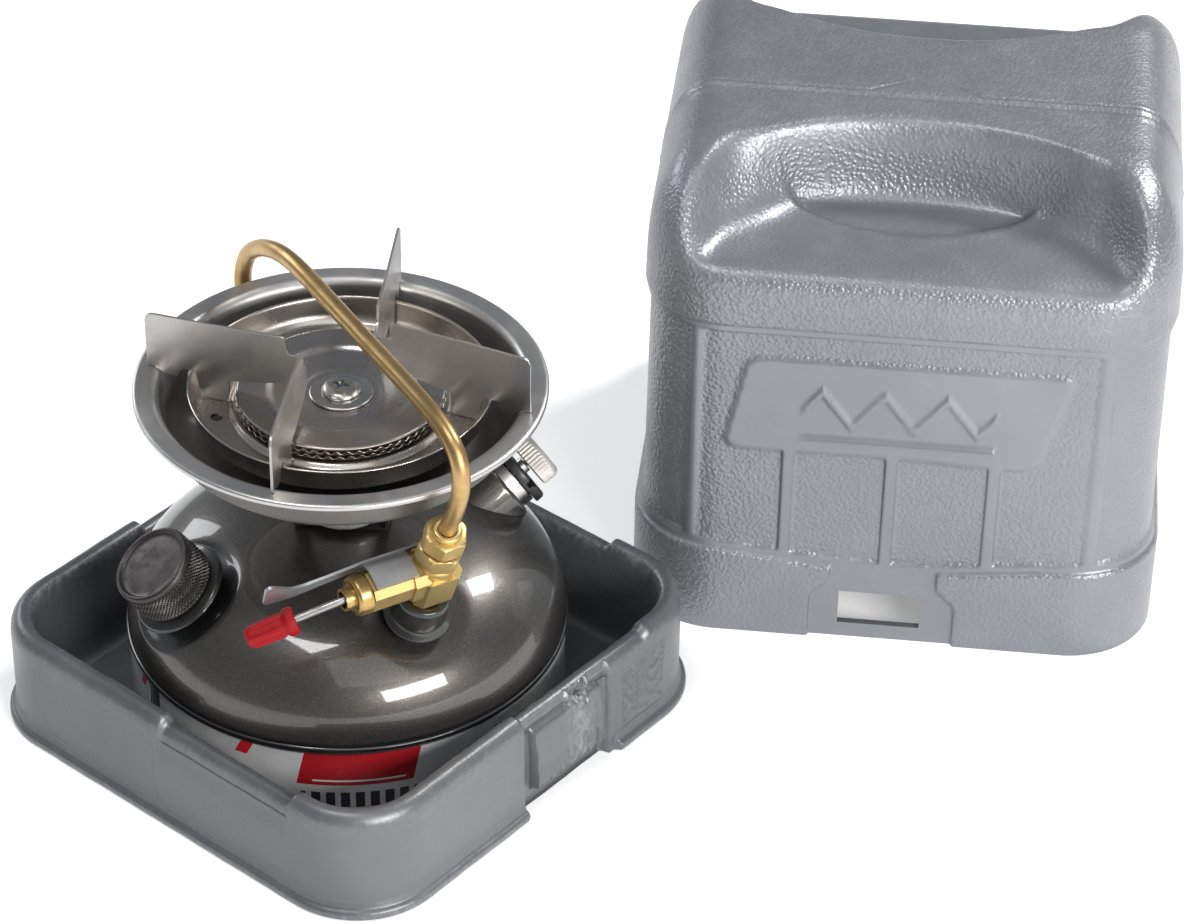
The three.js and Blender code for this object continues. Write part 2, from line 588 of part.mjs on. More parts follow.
add('generator_jet', along(cut(
  join(hexagon(9, 0, 4), drum(3, 3.6, 7.4, 1.4)),
  drum(0.6, -1, 9, 0, 12), drum(TUBE_R + 0.2, -1, 2.6)),
loopAt(JET_R0 - 2.2, PORT_Z), polar(1, VALVE_PHI), V(0, 0, 1)), 0xc9a24a, 0.3, 0.95);

// ---------------------------------------------------------------- burner
const BRACKET_W = 18;            // width of each bracket wall
const BRACKET_Y = DRUM_R + 0.5;  // inner face of each wall
const BRACKET_T = 1.1;
const bracketZ = domeZ(0) + GAP;
const bracketTop = BOWL_FLOOR - SHEET - GAP;
const wall = (side) => block(BRACKET_T, BRACKET_W, bracketTop - bracketZ,
  side * (BRACKET_Y + BRACKET_T / 2), 0, (bracketTop + bracketZ) / 2);
const foot = (side) => block(9, BRACKET_W, BRACKET_T,
  side * (BRACKET_Y + 4.5), 0, bracketTop - BRACKET_T / 2);
add('burner_bracket', join(
  block(2 * (BRACKET_Y + BRACKET_T), BRACKET_W, BRACKET_T, 0, 0, bracketZ + BRACKET_T / 2),
  wall(1), wall(-1), foot(1), foot(-1)).rotateZ(rad(35)), 0x1d1d1d, 0.5, 0.6);

const drumBase = bracketZ + BRACKET_T + GAP;
const neckTop = PAN_FLOOR - SHEET - GAP;
const mixShell = lathe([
  [0, drumBase], [DRUM_R - 1.5, drumBase], [DRUM_R, drumBase + 1.5], [DRUM_R, DRUM_Z[1] - 1.5],
  [NECK_OUT + 1.4, DRUM_Z[1] - 0.6], [NECK_OUT, DRUM_Z[1]], [NECK_OUT, neckTop - 0.8],
  [15.5, neckTop - 0.8], [15.5, neckTop], [NECK_OUT - 1, neckTop],
  [NECK_OUT - 1, DRUM_Z[1] - 1.4], [DRUM_R - 1, DRUM_Z[1] - 2.6], [DRUM_R - 1, drumBase + 2],
  [DRUM_R - 2, drumBase + 1], [0, drumBase + 1],
]);
const portAxis = polar(-1, VALVE_PHI);
const port = along(lathe([
  [4, 11], [5, 11], [5, 20], [6.4, 24.6], [5.6, 24.8], [4, 20.4],
], 20), V(0, 0, PORT_Z), portAxis, V(0, 0, 1));
const portHole = along(drum(4, 8, 16, 0, 20), V(0, 0, PORT_Z), portAxis, V(0, 0, 1));
const spider = [0, 120, 240].map((a) => block(NECK_OUT - 0.4, 2, 2.4,
  (NECK_OUT - 0.4) / 2, 0, 108.6).rotateZ(rad(a)));
add('mixing_chamber', cut(
  join(mixShell, cut(port, drum(DRUM_R - 0.5, 80, 100)), drum(4, 107.4, 109.8), ...spider),
  portHole, drum(SCREW_R + 0.15, 105, 112)), 0xb4b2ae, 0.2, 0.95);

add('wind_bowl', lathe([
  [NECK_OUT + 0.4, BOWL_FLOOR - SHEET], [42, BOWL_FLOOR - SHEET], [49, BOWL_FLOOR + 0.6],
  [54, BOWL_FLOOR + 5], [57, BOWL_Z - SHEET - 1.2], [58, BOWL_Z - SHEET],
  [BOWL_R - 0.8, BOWL_Z - SHEET], [BOWL_R - 0.2, BOWL_Z - 1.9], [BOWL_R + 0.3, BOWL_Z - 0.8],
  [BOWL_R, BOWL_Z], [57.6, BOWL_Z], [56.2, BOWL_Z - 1.2], [53.2, BOWL_FLOOR + 5.6],
  [48.6, BOWL_FLOOR + 1.5], [41.8, BOWL_FLOOR], [NECK_OUT + 0.4, BOWL_FLOOR],
], BIG), 0xb9b6b0, 0.3, 0.95);

const pan = lathe([
  [SCREW_R + 10, PAN_FLOOR - SHEET], [43, PAN_FLOOR - SHEET], [45.4, PAN_FLOOR + 0.8],
  [PAN_R, PAN_Z - 0.6], [PAN_R + 0.3, PAN_Z], [PAN_R - 0.7, PAN_Z + 0.3],
  [PAN_R - 1, PAN_Z - 0.6], [44.6, PAN_FLOOR + 1.4], [42.6, PAN_FLOOR],
  [RING_R[1] + 1.6, PAN_FLOOR], [RING_R[1] + 0.6, PAN_FLOOR + 1.4],
  [RING_R[0] - 1, PAN_FLOOR + 1.4], [RING_R[0] - 2.2, PAN_FLOOR],
  [SCREW_R + 10, PAN_FLOOR],
], BIG);
const panHoles = [205, 232, 52].map((a) => drum(2.1, PAN_FLOOR - 3, PAN_FLOOR + 3, 0, 12)
  .translate(38.4, 0, 0).rotateZ(rad(a)));
add('inner_pan', cut(pan, ...panHoles), 0xb4b0a8, 0.28, 0.95);

// burner rings: flat and wavy, stacked in turn
const waveH = 2 * WAVE_AMP + WAVE_T;
const flatRing = (z) => tubeRing(RING_R[0], RING_R[1], z, z + RING_FLAT, BIG);
function waveRing(z) {
  const n = RING_WAVES * 4;
  const rings = [];
  const mid = z + waveH / 2;
  for (let i = 0; i < n; i += 1) {
    const a = 2 * Math.PI * i / n;
    const w = mid + WAVE_AMP * Math.sin(RING_WAVES * a);
    rings.push([[RING_R[0], w - WAVE_T / 2], [RING_R[1], w - WAVE_T / 2],
      [RING_R[1], w + WAVE_T / 2], [RING_R[0], w + WAVE_T / 2]].map(
      ([r, h]) => V(r * Math.cos(a), r * Math.sin(a), h)));
  }
  const pos = rings.flat().flatMap((p) => [p.x, p.y, p.z]);
  const index = [];
  for (let i = 0; i < n; i += 1) {
    const j = (i + 1) % n;
    for (let k = 0; k < 4; k += 1) {
      const m = (k + 1) % 4;
      index.push(4 * i + k, 4 * j + k, 4 * j + m, 4 * i + k, 4 * j + m, 4 * i + m);
    }
  }
  const g = new THREE.BufferGeometry();
  g.setAttribute('position', new THREE.Float32BufferAttribute(pos, 3));
  g.setIndex(index);
  return g;
}
let ringZ = RING_Z;
const stack = [];
for (let i = 1; i <= 2; i += 1) {
  stack.push([`ring_flat_${i}`, flatRing(ringZ)]);
  ringZ += RING_FLAT + RING_GAP;
  stack.push([`ring_wave_${i}`, waveRing(ringZ)]);
  ringZ += waveH + RING_GAP;
}
stack.forEach(([name, g]) => add(name, g, 0x8f8a84, 0.35, 0.95));

const capZ = ringZ + 0.02;
const dish = capZ - 2.2;
const CAP_SEAT = SCREW_R + 0.25;
add('burner_cap', lathe([
  [CAP_SEAT, dish], [12, dish], [13.4, dish + 0.5], [22, dish + 0.9], [23.4, capZ],
  [CAP_DISH_R, capZ], [CAP_DISH_R, capZ + SHEET], [23, capZ + SHEET],
  [21.4, dish + 0.9 + SHEET], [13, dish + 0.5 + SHEET], [11.4, dish + SHEET],
  [CAP_SEAT, dish + SHEET],
], BIG), 0xa9a49c, 0.28, 0.95);
const washerZ = dish + SHEET + 0.05;
add('screw_washer', lathe([
  [CAP_SEAT, washerZ], [9.6, washerZ], [10, washerZ + 0.4], [9.6, washerZ + 0.8],
  [CAP_SEAT, washerZ + 0.8],
]), 0xbdbab4, 0.25, 0.95);
const headZ = washerZ + 0.85;
const slot = (a) => block(5, 1.1, 2.4, 0, 0, headZ + 2.2).rotateZ(rad(a));
add('burner_screw', cut(
  lathe([[0, 107.8], [SCREW_R - 0.4, 107.8], [SCREW_R, 108.4], [SCREW_R, headZ], [5.9, headZ],
    [6.1, headZ + 0.7], [5.2, headZ + 1.7], [3.2, headZ + 2.3], [0, headZ + 2.5]]),
  slot(20), slot(110)), 0xc8c6c0, 0.2, 0.95);

// ---------------------------------------------------------------- pot grate
const seatZ = BOWL_Z + 0.15;
/** Outline of one fin, measured out from its bend. */
function finOutline(half) {
  const away = (r) => -GRATE_BEND_R * Math.cos(rad(half))
    + Math.sqrt(r * r - (GRATE_BEND_R * Math.sin(rad(half))) ** 2);
  const tip = away(GRATE_R);
  return [
    [0, 130.5], [5, 126.2], [away(29), 123.6], [away(RING_R[1] + 1.2), 123.2],
    [away(RING_R[1] + 2.2), PAN_FLOOR + 0.3], [away(41.6), PAN_FLOOR + 0.3],
    [away(43.8), PAN_FLOOR + 3.6], [away(44.9), PAN_Z + 1], [away(PAN_R + 2.2), PAN_Z + 1],
    [away(51), 121], [away(55), 121.6], [away(57.4), seatZ],
    [tip, seatZ], [tip, GRATE_Z - 3.4], [tip - 1, GRATE_Z - 1], [tip - 3.4, GRATE_Z],
    [7.6, GRATE_Z], [6.6, GRATE_Z - 0.8], [6.4, 137.4], [0, 136.6],
  ];
}
function fin(half, angle, hand) {
  const g = prism(finOutline(half), 0, GRATE_T).rotateX(Math.PI / 2);
  if (hand > 0) g.translate(0, GRATE_T, 0);
  return g.rotateZ(rad(angle));
}
GRATE_AXIS.forEach((axis, i) => {
  const half = GRATE_V[i];
  const bend = drum(GRATE_T, 130.5, 136.6, 0, 16);
  const sheet = join(fin(half, axis - half, 1), fin(half, axis + half, -1), bend);
  const at = polar(GRATE_BEND_R, axis);
  add(`grate_${i + 1}`, sheet.translate(at.x, at.y, 0), 0xb9b7b2, 0.35, 0.95);
});

export default group;
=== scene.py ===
"""Looks of a camping stove in its case tray, with the case cover beside it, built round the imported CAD."""
import bmesh
import bpy
import math
import numpy as np
from mathutils import Matrix, Vector


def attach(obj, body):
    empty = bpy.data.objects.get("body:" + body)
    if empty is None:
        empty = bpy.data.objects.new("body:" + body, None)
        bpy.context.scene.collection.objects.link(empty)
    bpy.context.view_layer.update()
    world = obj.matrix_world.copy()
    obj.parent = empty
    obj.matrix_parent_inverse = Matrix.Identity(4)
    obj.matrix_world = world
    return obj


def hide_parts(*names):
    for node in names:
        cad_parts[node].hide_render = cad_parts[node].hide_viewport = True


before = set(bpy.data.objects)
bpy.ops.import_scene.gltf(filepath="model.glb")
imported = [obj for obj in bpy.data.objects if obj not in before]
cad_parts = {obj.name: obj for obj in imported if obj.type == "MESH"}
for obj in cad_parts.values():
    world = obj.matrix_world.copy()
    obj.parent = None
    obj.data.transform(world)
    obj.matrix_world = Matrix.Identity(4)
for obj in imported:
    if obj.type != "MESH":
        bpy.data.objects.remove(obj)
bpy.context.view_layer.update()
MM = 0.001
rad = math.radians


# ------------------------------------------------------------------ small maths
def step(x, width=1.0):
    """0 below, 1 above zero, with a smooth ramp `width` wide centred on it."""
    t = np.clip(np.asarray(x, float) / width + 0.5, 0, 1)
    return t * t * (3 - 2 * t)


def smin(a, b, k):
    """The smaller of two values, blended over a width k where they meet."""
    h = np.clip(k - np.abs(a - b), 0, None) / k
    return np.minimum(a, b) - h * h * k / 4


def unit(v):
    v = np.asarray(v, float)
    return v / np.linalg.norm(v)


def rounded(points, radius=0.4, closed=False, parts=3):
    """A profile with its corners turned into small arcs. A third number in a point is its own radius."""
    n = len(points)
    out = []
    for i, p in enumerate(points):
        here = np.array(p[:2], float)
        r = p[2] if len(p) > 2 else radius
        if (not closed and i in (0, n - 1)) or r <= 0:
            out.append(here)
            continue
        a = np.array(points[i - 1][:2], float) - here
        b = np.array(points[(i + 1) % n][:2], float) - here
        la, lb = np.linalg.norm(a), np.linalg.norm(b)
        if la < 1e-6 or lb < 1e-6:
            out.append(here)
            continue
        cut = min(r, 0.45 * la, 0.45 * lb)
        p0, p1 = here + a / la * cut, here + b / lb * cut
        for k in range(parts + 1):
            t = k / parts
            out.append((1 - t) ** 2 * p0 + 2 * t * (1 - t) * here + t * t * p1)
    return out


def catmull(points, count):
    """Evenly spaced points on a centripetal Catmull-Rom curve."""
    p = np.array(points, float)
    p = np.vstack([2 * p[0] - p[1], p, 2 * p[-1] - p[-2]])
    dense = []
    for i in range(1, len(p) - 2):
        t = [0.0]
        for k in range(3):
            t.append(t[-1] + np.linalg.norm(p[i + k] - p[i + k - 1]) ** 0.5)
        for u in np.linspace(t[1], t[2], 24, endpoint=False):
            q = [p[i - 1 + k] for k in range(4)]
            for level in range(1, 4):
                q = [((t[k + level] - u) * q[k] + (u - t[k]) * q[k + 1]) / (t[k + level] - t[k])
                     for k in range(4 - level)]
            dense.append(q[0])
    dense.append(p[-2])
    dense = np.array(dense)
    s = np.r_[0, np.cumsum(np.linalg.norm(np.diff(dense, axis=0), axis=1))]
    at = np.linspace(0, s[-1], count)
    return np.stack([np.interp(at, s, dense[:, k]) for k in range(3)], 1)


def heading(degrees):
    """Level unit vector at this angle from +x."""
    return np.array([math.cos(rad(degrees)), math.sin(rad(degrees)), 0.0])


class Frame:
    """Local axes: z along `direction`, x towards `side`, origin at `at` (mm)."""

    def __init__(self, at=(0, 0, 0), direction=(0, 0, 1), side=(1, 0, 0)):
        self.at, self.z = np.array(at, float), unit(direction)
        x = np.array(side, float)
        self.x = unit(x - x @ self.z * self.z)
        self.y = np.cross(self.z, self.x)

    def __call__(self, v):
        v = np.asarray(v, float)
        return self.at + v[..., 0:1] * self.x + v[..., 1:2] * self.y + v[..., 2:3] * self.z

    def point(self, s):
        return self.at + s * self.z


HOME = Frame()


# ------------------------------------------------------------------ meshes
def grid_faces(rows, cols):
    """Quads between stacked closed rows of `cols` points each."""
    i = np.arange(cols)
    j = (i + 1) % cols
    quads = [np.stack([a + i, a + j, a + cols + j, a + cols + i], 1) for a in np.arange(rows - 1) * cols]
    return [tuple(q) for q in np.concatenate(quads)]


def smooth_shade(ob, angle=35):
    """Smooth shading, sharp where faces meet at more than `angle` degrees."""
    ob.data.polygons.foreach_set("use_smooth", [True] * len(ob.data.polygons))
    ob.data.set_sharp_from_angle(angle=rad(angle))


def ring(radius, angles, z):
    """Points round local z; the radius is a number or one per angle."""
    return np.c_[radius * np.cos(angles), radius * np.sin(angles), np.full(len(angles), z)]


def make(name, verts, faces, smooth=35, attributes=None):
    """An object from points in mm."""
    me = bpy.data.meshes.new(name)
    me.from_pydata((np.asarray(verts, float) * MM).tolist(), [], [list(map(int, f)) for f in faces])
    for key, values in (attributes or {}).items():
        at = me.attributes.new(key, "FLOAT", "POINT")
        at.data.foreach_set("value", np.asarray(values, np.float32))
    me.update()
    ob = bpy.data.objects.new(name, me)
    smooth_shade(ob, smooth)
    bpy.context.scene.collection.objects.link(ob)
    return ob


def turned(profile, segments=96, place=HOME):
    """Vertices and faces of a piece turned about local z; a profile clear of the axis is closed on itself."""
    pts = np.array([p[:2] for p in profile], float)
    closed = pts[0][0] > 1e-6 and pts[-1][0] > 1e-6
    if closed:
        pts = np.vstack([pts, pts[:1]])
    a = np.linspace(0, 2 * math.pi, segments, endpoint=False)
    r = np.repeat(pts[:, :1], segments, 1)
    z = np.repeat(pts[:, 1:], segments, 1)
    aa = np.repeat(a[None], len(pts), 0)
    v = np.stack([r * np.cos(aa), r * np.sin(aa), z], -1)
    if closed:
        v = v[:-1]
    rows = len(v)
    verts = v.reshape(-1, 3)
    faces = grid_faces(rows, segments)
    if closed:
        i = np.arange(segments)
        j = (i + 1) % segments
        a0 = (rows - 1) * segments
        faces += [tuple(q) for q in np.stack([a0 + i, a0 + j, j, i], 1)]
    else:
        if pts[0][0] <= 1e-6:
            faces = [q if q[0] >= segments else q for q in faces]
        lut = np.arange(len(verts))
        for end in (0, rows - 1):
            if pts[end][0] <= 1e-6:
                lut[end * segments:(end + 1) * segments] = end * segments
        faces = [tuple(dict.fromkeys(int(lut[x]) for x in q)) for q in faces]
        faces = [q for q in faces if len(q) > 2]
        used = np.unique(np.concatenate([np.array(q) for q in faces]))
        back = -np.ones(len(verts), int)
        back[used] = np.arange(len(used))
        verts = verts[used]
        faces = [tuple(int(back[x]) for x in q) for q in faces]
    return place(verts), faces


def end_faces(rows, cols):
    """One flat face over the first row and one over the last."""
    return [tuple(range(cols))[::-1], tuple(range((rows - 1) * cols, rows * cols))]


def outward(ob):
    """Faces turned outward."""
    bm = bmesh.new()
    bm.from_mesh(ob.data)
    bmesh.ops.recalc_face_normals(bm, faces=bm.faces)
    bm.to_mesh(ob.data)
    bm.free()
    return ob


def lathe(name, profile, segments=96, place=HOME):
    return outward(make(name, *turned(profile, segments, place)))


def sweep(path, radius, sides=20):
    """Round bar along points, with flat ends."""
    p = np.asarray(path, float)
    n = len(p)
    tan = np.gradient(p, axis=0)
    tan /= np.linalg.norm(tan, axis=1)[:, None]
    ref = np.cross(tan[0], [0.3, 0.5, 0.8])
    ref /= np.linalg.norm(ref)
    rings = []
    a = np.linspace(0, 2 * math.pi, sides, endpoint=False)
    for i in range(n):
        ref = ref - ref @ tan[i] * tan[i]
        ref /= np.linalg.norm(ref)
        side = np.cross(tan[i], ref)
        rings.append(p[i] + radius * (np.cos(a)[:, None] * ref + np.sin(a)[:, None] * side))
    v = np.concatenate(rings)
    return v, grid_faces(n, sides) + end_faces(n, sides)


def prism(outline, z0, z1, place=HOME):
    """A straight bar of any outline between two heights."""
    n = len(outline)
    o = np.array(outline, float)
    v = np.vstack([np.c_[o, np.full(n, z0)], np.c_[o, np.full(n, z1)]])
    return place(v), end_faces(2, n) + grid_faces(2, n)


def bored(r, z0, z1, place, segments):
    """Plain round bar, to be cut away as a hole."""
    return turned([(0, z0), (r, z0), (r, z1), (0, z1)], segments, place)


def box(x, y, z, centre, place):
    c = centre
    return prism([(c[0] - x / 2, c[1] - y / 2), (c[0] + x / 2, c[1] - y / 2),
                  (c[0] + x / 2, c[1] + y / 2), (c[0] - x / 2, c[1] + y / 2)],
                 c[2] - z / 2, c[2] + z / 2, place)


def hexagon(af, z0, z1, place=HOME, chamfer=0.7, turn=0.0):
    """Hexagon bar, `af` across its flats, with the turned chamfer of a nut at both ends."""
    m = 96
    a = np.linspace(0, 2 * math.pi, m, endpoint=False)
    flat = (af / 2) / np.cos((a - turn + math.pi / 6) % (math.pi / 3) - math.pi / 6)
    big = af / math.sqrt(3)
    # (how far in from the end, largest radius there)
    cut = [(0, af / 2 * 0.98), (0.25 * chamfer, big - 0.65 * chamfer), (0.6 * chamfer, big - 0.2 * chamfer),
           (chamfer, big + 0.1)]
    rows = [(np.minimum(flat, limit), z0 + deep) for deep, limit in cut]
    rows += [(np.minimum(flat, limit), z1 - deep) for deep, limit in cut[::-1]]
    v = np.concatenate([ring(r, a, z) for r, z in rows])
    return place(v), grid_faces(len(rows), m) + end_faces(len(rows), m)


def boolean(base, others, operation):
    """Applies a boolean with each of `others` in turn and removes them."""
    for o in others:
        outward(o)
        mod = base.modifiers.new("b", "BOOLEAN")
        mod.operation, mod.object, mod.solver = operation, o, "EXACT"
        dg = bpy.context.evaluated_depsgraph_get()
        dg.update()
        me = bpy.data.meshes.new_from_object(base.evaluated_get(dg))
        base.modifiers.clear()
        old, base.data = base.data, me
        bpy.data.meshes.remove(old)
        bpy.data.objects.remove(o)
    return base


def tmp(vf):
    """A helper solid for a boolean."""
    return outward(make("tmp", *vf))


def weld_union(name, parts, holes=(), smooth=35, bevel=0.0):
    """One solid from overlapping solids, less the holes, with softened edges."""
    ob = make(name, *parts[0])
    outward(ob)
    boolean(ob, [tmp(p) for p in parts[1:]], "UNION")
    boolean(ob, [tmp(h) for h in holes], "DIFFERENCE")
    smooth_shade(ob, smooth)
    if bevel:
        soften(ob, bevel)
    return ob


def soften(ob, width, segments=2, angle=32):
    """Bevelled edges, `width` in mm."""
    m = ob.modifiers.new("edge", "BEVEL")
    m.width, m.segments, m.limit_method, m.angle_limit = width * MM, segments, "ANGLE", rad(angle)
    m.harden_normals = True
    m.miter_outer = "MITER_ARC"
    m.use_clamp_overlap = True
    return ob


MATERIALS = {}


def coat(ob, material):
    ob.data.materials.clear()
    ob.data.materials.append(MATERIALS[material])


def carry(node, material):
    """A hidden CAD node is kept as it is, with a look of its own."""
    coat(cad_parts[node], material)


def show(ob, material, body, slot, *nodes):
    """A finished piece: its look, the body it rides on, its slot (not used) and the CAD nodes that it stands
    for.
    """
    coat(ob, material)
    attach(ob, body)
    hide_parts(*nodes)


# ------------------------------------------------------------------ materials
class Shader:
    """A node material written as sums: s.add(a, b) and so on give sockets. Lengths are in metres."""

    def __init__(self, name):
        self.m = bpy.data.materials.new(name)
        self.m.use_nodes = True
        self.t = self.m.node_tree
        self.b = self.t.nodes["Principled BSDF"]
        co = self.t.nodes.new("ShaderNodeTexCoord")
        self.co = co.outputs["Object"]
        MATERIALS[name] = self.m

    def put(self, socket, value):
        if isinstance(value, bpy.types.NodeSocket):
            self.t.links.new(value, socket)
        else:
            if hasattr(value, "__len__") and len(socket.default_value) == 4 and len(value) == 3:
                value = (*value, 1.0)
            socket.default_value = value

    def set(self, **k):
        for name, value in k.items():
            self.put(self.b.inputs[name.replace("_", " ")], value)
        return self

    def math(self, op, *values):
        n = self.t.nodes.new("ShaderNodeMath")
        n.operation = op
        for socket, value in zip(n.inputs, values):
            self.put(socket, value)
        return n.outputs[0]

    def add(self, a, b):
        return self.math("ADD", a, b)

    def mul(self, a, b):
        return self.math("MULTIPLY", a, b)

    def mad(self, a, b, c):
        """a * b + c"""
        return self.math("MULTIPLY_ADD", a, b, c)

    def radius(self, x, y):
        return self.math("SQRT", self.add(self.mul(x, x), self.mul(y, y)))

    def xyz(self, vector=None):
        n = self.t.nodes.new("ShaderNodeSeparateXYZ")
        self.put(n.inputs[0], vector or self.co)
        return n.outputs

    def vec(self, x, y, z):
        n = self.t.nodes.new("ShaderNodeCombineXYZ")
        for s, v in zip(n.inputs, (x, y, z)):
            self.put(s, v)
        return n.outputs[0]

    def scaled(self, factors, vector=None):
        n = self.t.nodes.new("ShaderNodeVectorMath")
        n.operation = "MULTIPLY"
        self.put(n.inputs[0], vector or self.co)
        n.inputs[1].default_value = factors
        return n.outputs[0]

    def noise(self, scale, vector=None, detail=3.0, rough=0.55):
        n = self.t.nodes.new("ShaderNodeTexNoise")
        self.put(n.inputs["Vector"], vector or self.co)
        for key, value in (("Scale", scale), ("Detail", detail), ("Roughness", rough)):
            n.inputs[key].default_value = value
        return n.outputs["Fac"]

    def cells(self, scale, vector=None, feature="F1", out="Distance", smooth=None):
        n = self.t.nodes.new("ShaderNodeTexVoronoi")
        n.feature = feature
        self.put(n.inputs["Vector"], vector or self.co)
        n.inputs["Scale"].default_value = scale
        if smooth is not None:
            n.inputs["Smoothness"].default_value = smooth
        return n.outputs[out]

    def remap(self, value, a, b, c=0.0, d=1.0):
        """From c at a to d at b, with a smooth ramp between."""
        n = self.t.nodes.new("ShaderNodeMapRange")
        n.interpolation_type = "SMOOTHSTEP"
        n.clamp = True
        for k, v in (("Value", value), ("From Min", a), ("From Max", b), ("To Min", c), ("To Max", d)):
            self.put(n.inputs[k], v)
        return n.outputs["Result"]

    def mix(self, fac, a, b):
        """Colour a turned into colour b as fac goes from 0 to 1."""
        n = self.t.nodes.new("ShaderNodeMix")
        n.data_type = "RGBA"
        for k, v in (("Factor", fac), (6, a), (7, b)):
            self.put(n.inputs[k], v)
        return n.outputs[2]

    def attribute(self, name):
        n = self.t.nodes.new("ShaderNodeAttribute")
        n.attribute_name = name
        return n.outputs["Fac"]

    def bump(self, height, distance, strength=1.0, normal=None):
        n = self.t.nodes.new("ShaderNodeBump")
        n.inputs["Distance"].default_value = distance * MM
        self.put(n.inputs["Strength"], strength)
        self.put(n.inputs["Height"], height)
        if normal is not None:
            self.put(n.inputs["Normal"], normal)
        return n.outputs["Normal"]


def plastic_case(name, base, dark, light, pebble):
    """Silver-grey moulded polyethylene: pebble grain where `grain` is 1, scuffs where `wear` is 1."""
    s = Shader(name)
    grain, wear = s.attribute("grain"), s.attribute("wear")
    warp = s.noise(260, detail=2)
    where = s.vec(s.mad(warp, 0.0012, s.xyz()[0]), s.xyz()[1],
                  s.mad(warp, -0.0012, s.xyz()[2]))
    cell = s.cells(760, where, "SMOOTH_F1", smooth=0.35)
    fine = s.noise(1500, detail=2)
    height = s.mad(fine, 0.25, s.remap(cell, 0.15, 0.75, 1.0, 0.0))
    broad = s.noise(14, detail=3)
    mottle = s.noise(70, detail=5, rough=0.65)
    colour = s.mix(s.remap(broad, 0.3, 0.7), dark, base)
    colour = s.mix(s.mul(s.remap(mottle, 0.45, 0.75), 0.35), colour, light)
    scuff = s.mul(wear, s.remap(s.noise(520, s.scaled((1, 1, 0.6)), 6, 0.7), 0.42, 0.62))
    colour = s.mix(s.mul(scuff, 0.6), colour, (0.52, 0.53, 0.54))
    rough = s.mad(s.remap(mottle, 0.3, 0.8), 0.10, 0.34)
    rough = s.mad(scuff, 0.22, rough)
    first = s.bump(s.noise(90, detail=2), 0.5, 0.10)
    second = s.bump(s.noise(2600, detail=1), 0.03, 0.35, first)
    normal = s.bump(height, pebble, grain, second)
    s.set(Base_Color=colour, Roughness=rough, Metallic=0.5, Specular_IOR_Level=0.5, Normal=normal)


plastic_case("case_cover_plastic", (0.235, 0.246, 0.262), (0.21, 0.22, 0.236), (0.265, 0.277, 0.292), 0.17)
plastic_case("case_tray_plastic", (0.150, 0.153, 0.161), (0.134, 0.137, 0.144), (0.18, 0.184, 0.192), 0.10)


def tank_paint():
    """Bronze-charcoal metallic enamel under a clear gloss, black where it runs down to the seam."""
    s = Shader("tank_enamel")
    flake = s.cells(3600, out="Color")
    r = s.xyz(flake)[0]
    speck = s.math("POWER", r, 5.0)
    z = s.xyz()[2]
    cloud = s.noise(30, detail=3)
    base = s.mix(cloud, (0.052, 0.0475, 0.043), (0.072, 0.066, 0.060))
    base = s.mix(s.mul(speck, 0.28), base, (0.24, 0.22, 0.19))
    seam = s.remap(z, 0.0362, 0.0385, 1.0, 0.0)
    base = s.mix(seam, base, (0.006, 0.006, 0.007))
    # black inside the drawn seat of the filler, which lies round this place
    seat_at = (-0.02188, -0.05155, 0.0605)
    away = [s.math("POWER", s.add(part, -at), 2.0) for part, at in zip(s.xyz(), seat_at)]
    gap = s.math("SQRT", s.add(s.add(away[0], away[1]), away[2]))
    seat = s.remap(gap, 0.0188, 0.0208, 1.0, 0.0)
    base = s.mix(seat, base, (0.006, 0.006, 0.0065))
    n = s.bump(r, 0.008, 0.35)
    n2 = s.bump(s.noise(55, detail=1), 0.35, 0.06, n)
    metallic = s.mad(s.math("MAXIMUM", seam, seat), -0.6, 0.72)
    s.set(Base_Color=base, Metallic=metallic, Roughness=0.40, Normal=n, Coat_Weight=1.0,
          Coat_Roughness=0.035,
          Coat_IOR=1.55, Coat_Normal=n2)


def enamel(name, colour, rough=0.3, metallic=0.0, coat=0.6, grime=(0.02, 0.02, 0.02), gloss=0.5):
    """Paint, moulding or rubber: an even colour with soft patches of grime."""
    s = Shader(name)
    m = s.remap(s.noise(160, detail=5, rough=0.7), 0.45, 0.8)
    s.set(Base_Color=s.mix(s.mul(m, 0.5), colour, grime), Metallic=metallic,
          Roughness=s.mad(m, 0.2, rough), Specular_IOR_Level=gloss, Coat_Weight=coat, Coat_Roughness=0.08,
          Normal=s.bump(s.noise(900, detail=2), 0.03, 0.3))


